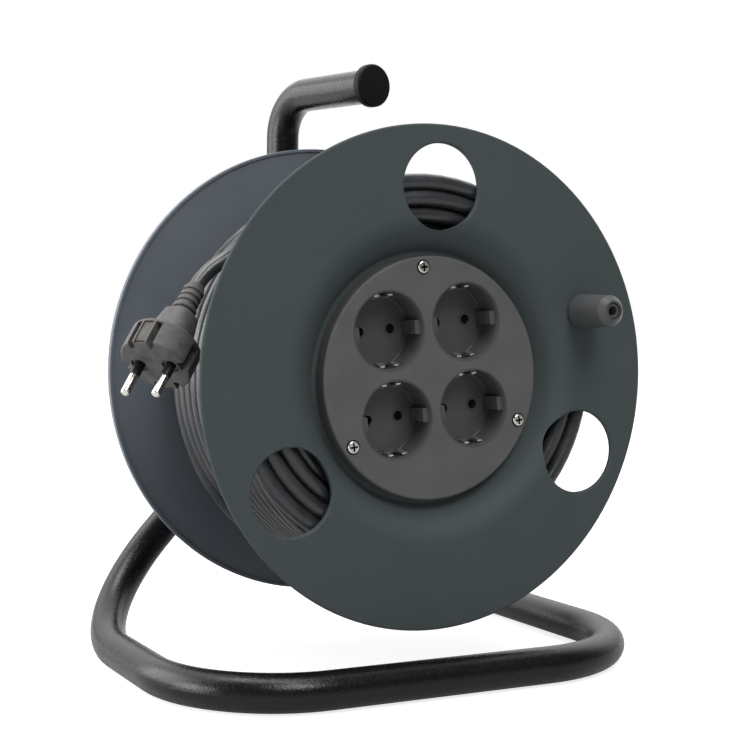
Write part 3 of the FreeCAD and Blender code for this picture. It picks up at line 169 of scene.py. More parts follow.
@dataclass(frozen=True)
class Finish:
    """A surface: its colours, gloss, fine relief, slow colour change and, where asked, painted
    shade in a recess.

    Attributes:
        name: what the material is and how its surface was made.
        colour: its main colour.
        shade: the colour of its slow changes.
        roughness: from 0, a mirror, to 1, matt.
        grain: how its surface was finished.
        grain_mm: size of the grain as it is drawn.
        relief: strength of the grain's bump.
        specular: strength of its reflections, 0.5 being what its IOR gives.
        metallic: 1 for a metal.
        ior: index of refraction, near 1.5 for plastics, coats and rubber.
        cloud_mm: size of the slow colour changes.
        gloss_change: how much rougher its dullest patches are.
        speckle_mm: size of the dull patches, or 0 where they follow the colour.
        painted_shade_from_mm: depth behind the front flange's face where the painted shade
            of a recess starts, if any.
        painted_shade_depth_mm: further depth at which it is all painted shade.
    """
    name: str
    colour: str
    shade: str
    roughness: float
    grain: Grain = Grain.SMOOTH
    grain_mm: float = 0.8
    relief: float = 0.1
    specular: float = 0.5
    metallic: float = 0.0
    ior: float = 1.5
    cloud_mm: float = 40.0
    gloss_change: float = 0.08
    speckle_mm: float = 0.0
    painted_shade_from_mm: float | None = None
    painted_shade_depth_mm: float = 0.8

    def material(self) -> bpy.types.Material:
        """Build the material, unless it is there already.

        Returns:
            The material of this finish.
        """
        known = bpy.data.materials.get(self.name)
        if known:
            return known
        material = bpy.data.materials.new(self.name)
        material.use_nodes = True
        tree = material.node_tree
        tree.nodes.clear()
        place = add(tree, "ShaderNodeTexCoord").outputs["Object"]
        cloud = add(tree, "ShaderNodeTexNoise", {"Scale": 1 / (self.cloud_mm * MM), **CLOUD_NOISE},
                    {"Vector": place}).outputs["Fac"]
        tint = add(tree, "ShaderNodeMix", data_type="RGBA")
        tint.inputs["A"].default_value = linear(self.colour)
        tint.inputs["B"].default_value = linear(self.shade)
        spread = add(tree, "ShaderNodeMapRange", TINT_SPAN, {"Value": cloud}).outputs["Result"]
        tree.links.new(spread, tint.inputs["Factor"])
        colour = tint.outputs["Result"]
        # Painted shade in a recess, darker with depth
        if self.painted_shade_from_mm is not None:
            colour = self.paint_recess_shade(tree, place, colour)
        patches = cloud
        if self.speckle_mm:
            patches = add(tree, "ShaderNodeTexNoise",
                          {"Scale": 1 / (self.speckle_mm * MM), **SPECKLE_NOISE},
                          {"Vector": place}).outputs["Fac"]
        gloss = add(tree, "ShaderNodeMapRange",
                    {**GLOSS_SPAN, "To Min": self.roughness,
                     "To Max": min(1.0, self.roughness + self.gloss_change)},
                    {"Value": patches}).outputs["Result"]
        skin = add(tree, "ShaderNodeBsdfPrincipled",
                   {"Metallic": self.metallic, "IOR": self.ior,
                    "Specular IOR Level": self.specular},
                   {"Base Color": colour, "Roughness": gloss})
        if self.grain is not Grain.SMOOTH:
            tree.links.new(self.fine_relief(tree, place), skin.inputs["Normal"])
        add(tree, "ShaderNodeOutputMaterial", links={"Surface": skin.outputs["BSDF"]})
        return material

    def paint_recess_shade(self, tree: bpy.types.NodeTree, place: bpy.types.NodeSocket,
             colour: bpy.types.NodeSocket) -> bpy.types.NodeSocket:
        """Paint shade into a recess that runs in from the front, such as a screw's cross: painted
        shade, darker with depth.

        Args:
            tree: the material's node tree.
            place: object coordinates.
            colour: the clean surface's colour.

        Returns:
            The colour with its painted shade.
        """
        start = (self.painted_shade_from_mm - RIM_BACK) * MM
        depth = add(tree, "ShaderNodeSeparateXYZ", links={0: place}).outputs["Y"]
        share = add(tree, "ShaderNodeMapRange",
                    {"From Min": start, "From Max": start + self.painted_shade_depth_mm * MM},
                    {"Value": depth}).outputs["Result"]
        mixed = add(tree, "ShaderNodeMix", data_type="RGBA")
        mixed.inputs["B"].default_value = linear(RECESS_SHADE_COLOUR)
        tree.links.new(share, mixed.inputs["Factor"])
        tree.links.new(colour, mixed.inputs["A"])
        return mixed.outputs["Result"]

    def fine_relief(self, tree: bpy.types.NodeTree,
                    place: bpy.types.NodeSocket) -> bpy.types.NodeSocket:
        """Bump of the surface's own texture.

        Args:
            tree: the material's node tree.
            place: object coordinates.

        Returns:
            The bumped normal.
        """
        vector = place
        if self.grain is Grain.BRUSHED:
            vector = add(tree, "ShaderNodeMapping", {"Scale": DRAWN_SCALE},
                         {"Vector": place}).outputs["Vector"]
        height = add(tree, "ShaderNodeTexNoise",
                     {"Scale": 1 / (self.grain_mm * MM), **GRAIN_NOISE[self.grain]},
                     {"Vector": vector}).outputs["Fac"]
        return add(tree, "ShaderNodeBump",
                   {"Strength": self.relief, "Distance": self.grain_mm * MM * RELIEF_SHARE},
                   {"Height": height}).outputs["Normal"]


# Powder coat on bent steel tube: deep black and satin. Its grain is too fine to show at this
# distance, so it is drawn coarser, and the highlights look finely speckled
TUBE_COAT = Finish("powder_coated_tube", "#060607", "#0b0b0c", 0.2, Grain.SPARK, 1.3, 0.5,
                   specular=0.3, gloss_change=0.14, speckle_mm=2.5)
# Cap moulded in soft polyethylene: matt black, with hardly a highlight
CAP_PLASTIC = Finish("moulded_polyethylene_cap", "#080809", "#0c0c0d", 0.5, Grain.SPARK, 0.9, 0.2,
                     specular=0.15)
# Drum moulded in polypropylene: dark slate and matt, so that no lamp shows in it. The texture
# of its eroded mould is drawn some ten times too coarse, as on all moulded pieces here
FLANGE_PLASTIC = Finish("moulded_polypropylene_drum", "#3d4444", "#3f4547", 0.6, Grain.SPARK,
                        1.1, 0.10, specular=0.1, cloud_mm=60.0)
# The back flange and the barrel: the drum's plastic made bluer, and paler as painted light for the
# light on the back flange, with a satin sheen
BACK_PLASTIC_PAINTED_LIGHT = Finish("moulded_polypropylene_back_painted_light", "#575d63", "#50565e", 0.42, Grain.SPARK,
                      1.1, 0.10, specular=0.35, cloud_mm=60.0)
# Panel moulded in filled nylon: neutral grey, and rougher to the eye than the drum
PANEL_PLASTIC = Finish("moulded_nylon_panel", "#494949", "#4f4f4f", 0.5, Grain.SPARK, 0.8, 0.25,
                       specular=0.3, cloud_mm=25.0)
# Socket inserts in polished thermoset: dark grey with a soft gloss, near black in their shade
SOCKET_PLASTIC = Finish("polished_thermoset_socket", "#434343", "#484848", 0.2, specular=0.3)
# Crank knob moulded in nylon: dark grey, worn a little smoother by hands
KNOB_PLASTIC = Finish("moulded_nylon_knob", "#3c3d3e", "#434445", 0.38, Grain.SPARK, 0.8, 0.15,
                      specular=0.3)
# Bearing bushes turned from natural nylon: ivory and waxy
BUSH_PLASTIC = Finish("turned_nylon_bush", "#b9b6aa", "#a9a698", 0.4)
# Nickel plate on the plug's brass pins: bright, with drawing lines coarse enough to show
NICKEL = Finish("nickel_plated_brass", "#dedbd5", "#cbc8c1", 0.14, Grain.BRUSHED, 0.4, 0.08,
                metallic=1.0, cloud_mm=6.0)
# The panel's screws: the same bright plate, with painted shade in their crosses
SCREW_NICKEL = Finish("nickel_plated_screw", "#dedbd5", "#cbc8c1", 0.2, Grain.BRUSHED, 0.4, 0.08,
                      metallic=1.0, cloud_mm=6.0, painted_shade_from_mm=3.6)
# Springs bent from nickel-plated strip: rubbed matt by plugs, so that they catch the light
SPRING_NICKEL = Finish("rubbed_nickel_spring", "#e6e4df", "#d4d1ca", 0.34, Grain.BRUSHED, 0.4, 0.08,
                       metallic=1.0, cloud_mm=6.0)
# Side contacts of the plug: the same plate, dull and painted dark, a painted shade for the grooves
# they lie in
NICKEL_PAINTED_SHADE = Finish("nickel_plate_painted_shade", "#54524f", "#484643", 0.5, metallic=1.0, cloud_mm=5.0)
# Zinc plate on turned steel: duller and greyer than nickel
ZINC = Finish("zinc_plated_steel", "#a9abad", "#96999c", 0.3, Grain.BRUSHED, 0.4, 0.1,
              metallic=1.0, cloud_mm=10.0)
# Rolled brass strip of the contacts: dull yellow deep inside the sockets
BRASS = Finish("rolled_brass", "#b58e4a", "#a27d3f", 0.3, metallic=1.0)
# Rubber sheath of the cable, extruded: near black and satin, softly rippled, a little dusty
CABLE_RUBBER = Finish("extruded_rubber_cable", "#222325", "#2c2d30", 0.24, Grain.PEEL, 1.5, 0.15,
                      specular=0.5, cloud_mm=15.0, gloss_change=0.15)
# Plug moulded in soft rubber: warm dark grey and matt, with pale scuffs
PLUG_RUBBER = Finish("moulded_rubber_plug", "#3d3c3c", "#4f4d4c", 0.5, Grain.SPARK, 0.7, 0.3,
                     specular=0.3, cloud_mm=5.0)
# Sleeves moulded round the roots of the plug's pins: black, with a small highlight
SLEEVE_PLASTIC = Finish("moulded_nylon_sleeve", "#0e0e0f", "#131314", 0.35, specular=0.3)
# Shutters moulded in nylon, inside the pin holes: dull and near black, a painted shade that makes
# each hole look deep
SHUTTER_PAINTED_SHADE = Finish("moulded_nylon_shutter_painted_shade", "#050505", "#080808", 0.7, specular=0.1)


def settle(piece: bpy.types.Object, finish: Finish, body: Body) -> None:
    """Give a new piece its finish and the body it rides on.

    Args:
        piece: the new piece.
        finish: its surface.
        body: the body it moves with.
    """
    piece.data.materials.append(finish.material())
    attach(piece, body.value)
    log.info("%s on the %s: %s", piece.name, body.value, finish.name)


def select_front_faces(piece: bpy.types.Object) -> None:
    """Go to edit mode with only the faces selected that face the front.

    Args:
        piece: the active mesh object.
    """
    bpy.ops.object.mode_set(mode="EDIT")
    bpy.ops.mesh.select_mode(type="FACE")
    bpy.ops.mesh.select_all(action="DESELECT")
    bpy.ops.object.mode_set(mode="OBJECT")
    for polygon in piece.data.polygons:
        polygon.select = polygon.normal.y < -FACING
    bpy.ops.object.mode_set(mode="EDIT")


def cable_piece(name: str, points: Sequence[Sequence[float]], line: Line = Line.CLOSE,
                roundness: int = 4) -> bpy.types.Object:
    """Draw a length of cable with closed ends.

    Args:
        name: name of the piece.
        points: its middle line, in metres.
        line: how the line runs by its points.
        roundness: steps in a quarter of the cable's edge, less one.

    Returns:
        The new curve object.
    """
    curve = bpy.data.curves.new(name, "CURVE")
    curve.dimensions = "3D"
    spline = curve.splines.new(line.value)
    spline.points.add(len(points) - 1)
    for point, place in zip(spline.points, points):
        point.co = (*place, 1.0)
    if line is Line.SMOOTH:
        spline.order_u = SPLINE_ORDER
        spline.use_endpoint_u = True
    curve.resolution_u = SPLINE_STEPS
    curve.bevel_depth = CABLE_D / 2 * MM
    curve.bevel_resolution = roundness
    curve.use_fill_caps = True
    piece = bpy.data.objects.new(name, curve)
    bpy.context.scene.collection.objects.link(piece)
    return piece


@dataclass
class Assembly:
    """A group of the reel's solids that one class dresses.

    Attributes:
        body: the body that they belong to.
        finishes: the finish of each solid, by its name.
    """
    body: Body = Body.DRUM
    finishes: dict[str, Finish] = field(default_factory=dict)

    def dress(self) -> None:
        """Give each solid of the group its finish."""
        for name, finish in self.finishes.items():
            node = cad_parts[name]
            node.data.materials.clear()
            node.data.materials.append(finish.material())
            log.info("%s on the %s: %s", name, self.body.value, finish.name)

    def build(self) -> None:
        """Dress the solids; groups with pieces of their own add them."""
        self.dress()


@dataclass
class TubeFrame(Assembly):
    """The bent tube with its caps, and the bracket that carries the axle."""
    body: Body = Body.FRAME
    finishes: dict[str, Finish] = field(default_factory=lambda: {
        "frame_tube": TUBE_COAT, "axle_bracket": TUBE_COAT, "handle_end_cap": CAP_PLASTIC,
        "runner_end_cap": CAP_PLASTIC, "bracket_bolts": ZINC, "axle": ZINC,
        "axle_spacer": CAP_PLASTIC, "axle_washer": ZINC, "axle_bolt": ZINC})


@dataclass
class Drum(Assembly):
    """The two flanges, the barrel between them, what joins them, the bushes, the knob's pin."""
    finishes: dict[str, Finish] = field(default_factory=lambda: {
        # The back flange and the barrel take the paler copy of the drum's plastic, painted light
        "front_flange": FLANGE_PLASTIC, "rear_flange": BACK_PLASTIC_PAINTED_LIGHT,
        "drum_barrel": BACK_PLASTIC_PAINTED_LIGHT, "front_join_screws": ZINC, "rear_join_screws": ZINC,
        "front_bush": BUSH_PLASTIC, "rear_bush": BUSH_PLASTIC, "knob_pin": KNOB_PLASTIC})


@dataclass
class CrankKnob(Assembly):
    """The turning grip."""
    body: Body = Body.KNOB
    finishes: dict[str, Finish] = field(default_factory=lambda: {"crank_knob": KNOB_PLASTIC})


@dataclass
class SocketPanel(Assembly):
    """The round panel with its four sockets and what lies behind them, in mm.

    Attributes:
        pitch: distance between the middles of neighbouring sockets.
        rise: the sockets' common middle above the drum axis.
        pin_pitch: distance between the two pin holes of a socket.
        hole_r: radius of a pin hole.
        shutter_front: depth of a shutter's face behind the front flange's face.
        shutter_t: thickness of a shutter.
        shutter_gap: room between a shutter and the hole's wall.
        shutter_sides: number of sides of its round edge.
        dish: steps of its dished face, each as the distance inwards and the drop.
    """
    finishes: dict[str, Finish] = field(default_factory=lambda: {
        "socket_panel": PANEL_PLASTIC, "panel_screws": SCREW_NICKEL, "pin_contacts": BRASS,
        "contact_bars": BRASS, "contact_carrier": BUSH_PLASTIC,
        "terminal_housing": CAP_PLASTIC})
    pitch: float = 47.5
    rise: float = 4.4
    pin_pitch: float = 19.0
    hole_r: float = 2.75
    shutter_front: float = 22.9
    shutter_t: float = 1.2
    shutter_gap: float = 0.05
    shutter_sides: int = 32
    dish: tuple[tuple[float, float], ...] = ((0.5, 0.3), (0.8, 0.2))

    def __post_init__(self) -> None:
        """Add the four sockets to the finishes."""
        for number in range(1, 5):
            self.finishes[f"socket_cup_{number}"] = SOCKET_PLASTIC
            self.finishes[f"earth_clip_{number}"] = SPRING_NICKEL

    def holes(self) -> list[Vector]:
        """Work out where the pin holes are closed.

        Returns:
            The middles of the eight shutters, in the part's frame, in metres.
        """
        turn = math.radians(DRUM_TURN)
        middle = self.shutter_front + self.shutter_t / 2
        places = []
        for z in (self.rise + self.pitch / 2, self.rise - self.pitch / 2):
            for x in (-self.pitch / 2, self.pitch / 2):
                for side in (-0.5, 0.5):
                    across = x + side * self.pin_pitch
                    places.append(reel_point(across * math.cos(turn) - z * math.sin(turn), middle,
                                             across * math.sin(turn) + z * math.cos(turn)))
        return places

    def shutter(self, place: Vector) -> bpy.types.Object:
        """Model one shutter: a plate that closes a pin hole, dished for the pin's tip.

        Args:
            place: its middle, in metres.

        Returns:
            The new piece.
        """
        bpy.ops.object.select_all(action="DESELECT")
        bpy.ops.mesh.primitive_cylinder_add(
            vertices=self.shutter_sides, radius=(self.hole_r - self.shutter_gap) * MM,
            depth=self.shutter_t * MM, location=place, rotation=(math.pi / 2, 0, 0))
        piece = bpy.context.active_object
        bpy.ops.object.transform_apply(location=True, rotation=True, scale=True)
        select_front_faces(piece)
        for inwards, drop in self.dish:
            bpy.ops.mesh.inset(thickness=inwards * MM)
            bpy.ops.transform.translate(value=(0, drop * MM, 0))
        bpy.ops.object.mode_set(mode="OBJECT")
        return piece

    def build(self) -> None:
        """Dress the panel and close its pin holes."""
        self.dress()
        places = self.holes()
        first = self.shutter(places[0])
        for number, place in enumerate(places, 1):
            piece = first
            if number > 1:
                piece = first.copy()
                piece.data = first.data.copy()
                piece.data.transform(Matrix.Translation(place - places[0]))
                bpy.context.scene.collection.objects.link(piece)
            piece.name = f"pin_shutter_{number}"
            settle(piece, SHUTTER_PAINTED_SHADE, self.body)


@dataclass
class Plug(Assembly):
    """The moulded plug with its pins, side contacts and bend relief."""
    finishes: dict[str, Finish] = field(default_factory=lambda: {
        "plug_body": PLUG_RUBBER, "bend_relief": PLUG_RUBBER, "plug_pins": NICKEL,
        "plug_earth_strips": NICKEL_PAINTED_SHADE, "pin_sleeves": SLEEVE_PLASTIC})


@dataclass
class Winding:
    """The outer turns of the cable, as one unbroken length on the drum.

    Lengths are in mm and angles in degrees, anticlockwise from the right.

    Attributes:
        layer_r: radius of the full layer's middle line.
        top_r: radius of the last turn, which lies on that layer.
        first_y: where the layer starts at the front.
        level_end_y: where it ends at the back.
        top_end_y: where the last turn ends.
        level_turns: turns before the cable climbs to the last one.
        climb_turns: turns in which it climbs.
        top_turns: turns on top.
        start_angle: angle of its first point.
        wander_mm: how far the turns lie out of true.
        wander_phase: where they do, in radians.
    """
    layer_r: float = 102.73
    top_r: float = 111.68
    first_y: float = 16.26
    level_end_y: float = 114.88
    top_end_y: float = 73.8
    level_turns: float = 10.77
    climb_turns: float = 0.25
    top_turns: float = 0.527
    start_angle: float = -92.0
    wander_mm: float = 0.8
    wander_phase: float = 0.6

    def point(self, turn: float) -> Vector:
        """A point of the winding's middle line.

        Args:
            turn: turns from its start.

        Returns:
            The point in the part's frame, in metres.
        """
        climbed = self.level_turns + self.climb_turns
        y = self.first_y + (self.level_end_y - self.first_y) * min(turn / climbed, 1.0)
        y += (self.top_end_y - self.level_end_y) * ease(max(turn - climbed, 0.0) / self.top_turns)
        climb = min(max(turn - self.level_turns, 0.0) / self.climb_turns, 1.0)
        radius = self.layer_r + (self.top_r - self.layer_r) * ease(climb)
        angle = self.start_angle + 360 * turn
        inside = max(min(turn, climbed - turn, 1.0), 0.0)
        y += self.wander_mm * inside * math.sin(2 * math.radians(angle) + self.wander_phase)
        return drum_point(radius, y, angle)

    def build(self) -> None:
        """Lay the cable along the turns, and one diameter further under the free cable."""
        total = self.level_turns + self.climb_turns + self.top_turns
        count = int(total * TURN_STEPS)
        points = [self.point(total * k / count) for k in range(count + 1)]
        ahead = (points[-1] - points[-2]).normalized()
        points.append(points[-1] + ahead * CABLE_D * MM)
        piece = cable_piece("wound_turns", points)
        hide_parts("wound_cable")
        settle(piece, CABLE_RUBBER, Body.DRUM)


@dataclass
class UnderTurns:
    """The turns under the outer layer, and the loose ones on the cable's front face.

    Lengths are in mm and angles in degrees, anticlockwise from the right.

    Attributes:
        outer: the outer layer, which the loose turns run into.
        layer_r: radius of the turns under it.
        first_y: where these end at the front.
        last_y: where these start at the back.
        pitch: their distance from one another.
        start_angle: angle of their first point.
        front_r: mean radius of the outermost loose turn.
        front_y: depth of the loose turns that lie flat.
        front_pitch: their distance from one another.
        front_turns: number of loose turns.
        join_span: angle over which the last one runs into the outer layer.
        slope_r: radius inside which the front flange's cone pushes them back.
        slope: how far it does, for each mm inwards.
        least_r: radius at which the barrel stops them.
        dip_mm: how far a loose turn lies out and in of its mean radius.
        dip_start: angle at which it starts to drop inwards.
        dip_span: angle over which it drops.
    """
    outer: Winding
    layer_r: float = 94.0
    first_y: float = 16.15
    last_y: float = 136.3
    pitch: float = 8.75
    start_angle: float = 40.0
    front_r: float = 107.0
    front_y: float = 7.4
    front_pitch: float = 8.7
    front_turns: float = 3.8
    join_span: float = 42.0
    slope_r: float = 91.0
    slope: float = 0.704
    least_r: float = 73.4
    dip_mm: float = 6.0
    dip_start: float = 188.0
    dip_span: float = 58.0

    def dip(self, angle: float) -> float:
        """How far a loose front turn lies out or in, at an angle about the drum.

        Args:
            angle: anticlockwise from the right, in degrees.

        Returns:
            The change of radius in mm: a short drop inwards and a long way out again.
        """
        past = (angle - self.dip_start) % 360
        if past < self.dip_span:
            return self.dip_mm * (1 - 2 * ease(past / self.dip_span))
        back = (past - self.dip_span) / (360 - self.dip_span)
        return self.dip_mm * (2 * back - 1)

    def front_point(self, left: float) -> Vector:
        """A point of the spiral on the front face, which ends where the outer layer starts.

        Args:
            left: turns that are left to the outer layer's first point.

        Returns:
            The point in the part's frame, in metres.
        """
        angle = self.outer.start_angle - 360 * left
        mean = self.front_r - self.front_pitch * left
        radius = max(mean + self.dip(angle), self.least_r)
        y = self.front_y + max(self.slope_r - radius, 0.0) * self.slope
        near = ease(max(1 - 360 * left / self.join_span, 0.0))
        radius += (self.outer.layer_r - radius) * near
        y += (self.outer.first_y - y) * near
        return drum_point(radius, y, angle)

    def under_point(self, turn: float) -> Vector:
        """A point of the helix under the outer layer.

        Args:
            turn: turns from its start at the back.

        Returns:
            The point in the part's frame, in metres.
        """
        return drum_point(self.layer_r, self.last_y - self.pitch * turn,
                          self.start_angle - 360 * turn)

    def build(self) -> None:
        """Lay the helix from the back to the front, and the spiral on the front face."""
        under_steps = int((self.last_y - self.first_y) / self.pitch * TURN_STEPS)
        front_steps = int(self.front_turns * TURN_STEPS)
        under = [self.under_point(k / TURN_STEPS) for k in range(under_steps + 1)]
        front = [self.front_point(k / TURN_STEPS) for k in range(front_steps, -1, -1)]
        for name, points in (("under_turns", under), ("front_turns", front)):
            piece = cable_piece(name, points)
            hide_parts("cable_core")
            settle(piece, CABLE_RUBBER, Body.DRUM)


@dataclass
class FreeCable:
    """The free end of the cable, from the winding to the plug's bend relief.

    Attributes:
        length_mm: its real length; not used.
        roundness: steps in a quarter of its edge, less one; it is seen from close by.
        route: points that guide its middle line, in the part's frame, in metres.
    """
    length_mm: float = 101.2
    roundness: int = 6
    route: tuple[tuple[float, float, float], ...] = (
        (-0.03688, -0.00571, 0.27080),
        (-0.05181, -0.00573, 0.26693),
        (-0.07055, -0.02037, 0.25197),
        (-0.08934, -0.01605, 0.23126),
        (-0.10809, -0.01514, 0.21967),
        (-0.11382, -0.01904, 0.21180),
    )

    def build(self) -> None:
        piece = cable_piece("free_cable", self.route, Line.SMOOTH, self.roundness)
        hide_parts("cable_tail")
        settle(piece, CABLE_RUBBER, Body.DRUM)


@dataclass(frozen=True)
class Lamp:
    """A soft square lamp that faces the reel.

    Attributes:
        name: name of the lamp.
        place: its place in metres.
        size: side of the square in metres.
        power: its power in watts.
        aim: the point that it faces, in metres.
    """
    name: str
    place: tuple[float, float, float]
    size: float
    power: float
    aim: tuple[float, float, float] = (0.0, 0.0, 0.16)

    def hang(self) -> None:
        """Put the lamp in the scene; the camera doesn't see it."""
        data = bpy.data.lights.new(self.name, "AREA")
        data.shape = "SQUARE"
        data.size = self.size
        data.energy = self.power
        lamp = bpy.data.objects.new(self.name, data)
        lamp.location = self.place
        ahead = Vector(self.aim) - Vector(self.place)
        lamp.rotation_euler = ahead.to_track_quat("-Z", "Y").to_euler()
        lamp.visible_camera = False
        bpy.context.scene.collection.objects.link(lamp)
        log.info("lamp %s: %s W", self.name, self.power)


@dataclass
class Studio:
    """Floor, sky, lamps and camera, in metres, with strengths where 1 is white.

    Attributes:
        camera_mm: the camera's place about the drum, in mm.
        yaw: its turn to the right, in radians.
        pitch: its tilt down, in radians.
        roll: its tilt sideways, in radians.
        focal_px: its focal length in pixels of the photograph.
        width_px: the photograph's width.
        sensor_mm: width of the sensor.
        clip_near: nearest distance that it sees.
        clip_far: furthest distance that it sees.
        floor_size: side of the floor.
        floor_drop: the floor's gap under the tube.
        floor_grey: how much light the floor sends back.
        near_glow: strength of the floor to the eye, near the reel.
        fade_start: distance from the reel where the floor starts to turn plain white.
        fade_end: distance where it is plain white.
        floor_shine: strength of the floor in reflections near the reel, a painted shade for the
            floor under it, and in front.
        far_shine: the same, far behind the reel.
        shine_end: distance where it has that strength.
        shine_front: depth where the floor in front ends in reflections.
        shine_back: depth where the floor behind starts.
        sky_light: strength of the sky as a light.
        room_shine: strength in reflections of the room that the sockets face.
        room_blend: share of a ray's depth over which that room turns to the backdrop.
        back_low: strength in reflections of the backdrop's foot.
        back_high: strength of its top.
        back_rise: share of a ray's height where the top starts.
        lamps: the lamps.
    """
    camera_mm: tuple[float, float, float] = (-399.33, -671.99, 28.74)
    yaw: float = 0.49124
    pitch: float = 0.034713
    roll: float = 0.015423
    focal_px: float = 1467.14
    width_px: float = 743.0
    sensor_mm: float = 36.0
    clip_near: float = 0.01
    clip_far: float = 50.0
    floor_size: float = 30.0
    floor_drop: float = 0.0005
    floor_grey: float = 0.46
    near_glow: float = 0.78
    fade_start: float = 0.3
    fade_end: float = 0.9
    floor_shine: float = 0.15
    far_shine: float = 1.2
    shine_end: float = 0.5
    shine_front: float = -0.1
    shine_back: float = 0.4
    sky_light: float = 0.46
    room_shine: float = 0.2
    room_blend: float = 0.25
    back_low: float = 0.4
    back_high: float = 2.2
    back_rise: float = 0.6
    lamps: tuple[Lamp, ...] = (
        Lamp("key", (-0.1, -1.35, 1.5), 0.8, 20.5),
        Lamp("top", (0.0, -0.45, 1.8), 0.6, 7.0),
        Lamp("overhead", (-0.35, 0.15, 1.8), 0.7, 14.0),
        Lamp("fill", (-1.5, -0.05, 0.32), 0.7, 15.0),
        Lamp("rim", (-1.3, 0.9, 0.7), 1.2, 20.0),
    )

    def camera(self) -> None:
        """Place the camera where the photograph was taken from."""
        ahead = Vector((math.sin(self.yaw) * math.cos(self.pitch),
                        math.cos(self.yaw) * math.cos(self.pitch), -math.sin(self.pitch)))
        right = Vector((math.cos(self.yaw), -math.sin(self.yaw), 0.0))
        up = right.cross(ahead)
        side = right * math.cos(self.roll) + up * math.sin(self.roll)
        top = up * math.cos(self.roll) - right * math.sin(self.roll)
        data = bpy.data.cameras.new("camera")
        data.sensor_fit = "HORIZONTAL"
        data.sensor_width = self.sensor_mm
        data.lens = self.focal_px / self.width_px * self.sensor_mm
        data.clip_start = self.clip_near
        data.clip_end = self.clip_far
        eye = bpy.data.objects.new("camera", data)
        turn = Matrix((side, top, -ahead)).transposed().to_4x4()
        eye.matrix_world = Matrix.Translation(reel_point(*self.camera_mm)) @ turn
        bpy.context.scene.collection.objects.link(eye)
        bpy.context.scene.camera = eye

    def seen(self, tree: bpy.types.NodeTree, light: float, shine: bpy.types.NodeSocket,
             eye: bpy.types.NodeSocket | None = None) -> bpy.types.NodeSocket:
        """Choose a strength by the kind of ray that meets the floor or the sky.

        Args:
            tree: the node tree.
            light: strength for the rays that light the reel.
            shine: strength for reflections and refractions.
            eye: strength for rays from the camera, or None for plain white.

        Returns:
            The strength.
        """
        path = add(tree, "ShaderNodeLightPath").outputs
        shiny = add(tree, "ShaderNodeMath", links={
            0: path["Is Glossy Ray"], 1: path["Is Transmission Ray"]},
            operation="MAXIMUM").outputs[0]
        level = add(tree, "ShaderNodeMapRange", {"To Min": light},
                    {"Value": shiny, "To Max": shine}).outputs["Result"]
        choice = add(tree, "ShaderNodeMapRange", {"To Max": WHITE_LEVEL},
                     {"Value": path["Is Camera Ray"], "To Min": level})
        if eye is not None:
            tree.links.new(eye, choice.inputs["To Max"])
        return choice.outputs["Result"]

    def floor_material(self) -> bpy.types.Material:
        """Make the floor white to the eye and shadowed, with painted shade in its reflections near
        the reel.

        Returns:
            The floor's material.
        """
        material = bpy.data.materials.new("white_floor")
        material.use_nodes = True
        tree = material.node_tree
        tree.nodes.clear()
        grey = self.floor_grey
        lit = add(tree, "ShaderNodeBsdfDiffuse", {"Color": (grey, grey, grey, 1.0)})
        place = add(tree, "ShaderNodeTexCoord").outputs["Object"]
        away = add(tree, "ShaderNodeVectorMath", links={0: place},
                   operation="LENGTH").outputs["Value"]
        white = add(tree, "ShaderNodeMapRange",
                    {"From Min": self.fade_start, "From Max": self.fade_end,
                     "To Min": self.near_glow, "To Max": WHITE_LEVEL},
                    {"Value": away}).outputs["Result"]
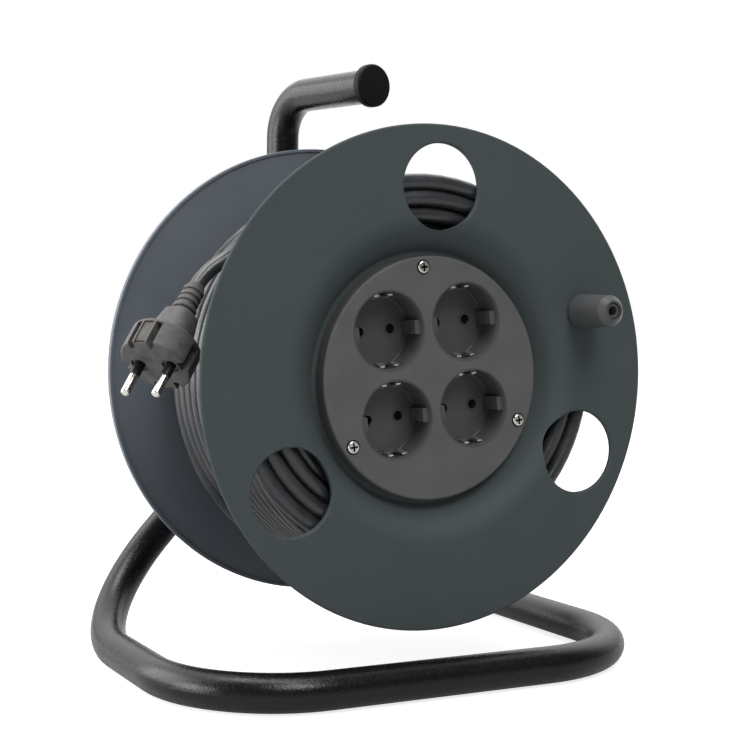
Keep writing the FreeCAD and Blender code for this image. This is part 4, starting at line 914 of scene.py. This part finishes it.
        # Painted shade: the floor is dim in reflections near the reel, brighter far from it
        far = add(tree, "ShaderNodeMapRange",
                  {"From Min": self.fade_start, "From Max": self.shine_end,
                   "To Min": self.floor_shine, "To Max": self.far_shine},
                  {"Value": away}).outputs["Result"]
        depth = add(tree, "ShaderNodeSeparateXYZ", links={0: place}).outputs["Y"]
        shine = add(tree, "ShaderNodeMapRange",
                    {"From Min": self.shine_front, "From Max": self.shine_back,
                     "To Min": self.floor_shine},
                    {"Value": depth, "To Max": far}).outputs["Result"]
        glow = add(tree, "ShaderNodeEmission", {"Color": WHITE},
                   {"Strength": self.seen(tree, 0.0, shine, white)})
        both = add(tree, "ShaderNodeAddShader", links={0: lit.outputs[0], 1: glow.outputs[0]})
        add(tree, "ShaderNodeOutputMaterial", links={"Surface": both.outputs[0]})
        return material

    def floor(self) -> None:
        """Lay a white floor that keeps the reel's soft shadow."""
        bpy.ops.object.select_all(action="DESELECT")
        bpy.ops.mesh.primitive_plane_add(size=self.floor_size, location=(0, 0, -self.floor_drop))
        ground = bpy.context.active_object
        ground.name = "floor"
        bpy.ops.object.transform_apply(location=True, rotation=True, scale=True)
        ground.data.materials.append(self.floor_material())

    def sky(self) -> None:
        """White to the eye and plain grey as a light, with a dimmer room in front.

        Glossy faces reflect the white backdrop behind the reel and the dimmer room on the
        side that the sockets face.
        """
        world = bpy.data.worlds.new("studio_sky")
        world.use_nodes = True
        tree = world.node_tree
        tree.nodes.clear()
        ray = add(tree, "ShaderNodeTexCoord").outputs["Generated"]
        axes = add(tree, "ShaderNodeSeparateXYZ", links={0: ray}).outputs
        backdrop = add(tree, "ShaderNodeMapRange",
                       {"From Min": 0.0, "From Max": self.back_rise, "To Min": self.back_low,
                        "To Max": self.back_high}, {"Value": axes["Z"]}).outputs["Result"]
        shine = add(tree, "ShaderNodeMapRange",
                    {"From Min": -self.room_blend, "From Max": self.room_blend,
                     "To Min": self.room_shine},
                    {"Value": axes["Y"], "To Max": backdrop},
                    interpolation_type="SMOOTHSTEP").outputs["Result"]
        back = add(tree, "ShaderNodeBackground", {"Color": WHITE},
                   {"Strength": self.seen(tree, self.sky_light, shine)})
        add(tree, "ShaderNodeOutputWorld", links={"Surface": back.outputs[0]})
        bpy.context.scene.world = world

    def build(self) -> None:
        """Set up the whole studio."""
        self.camera()
        self.floor()
        self.sky()
        for lamp in self.lamps:
            lamp.hang()
        bpy.context.scene.view_settings.view_transform = "Standard"
        log.info("studio ready")


def main() -> None:
    """Build the reel's scene, piece by piece."""
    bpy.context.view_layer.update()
    winding = Winding()
    for part in (Studio(), FreeCable(), winding, UnderTurns(winding), TubeFrame(), Drum(),
                 SocketPanel(), CrankKnob(), Plug()):
        part.build()


if __name__ == "__main__":
    main()
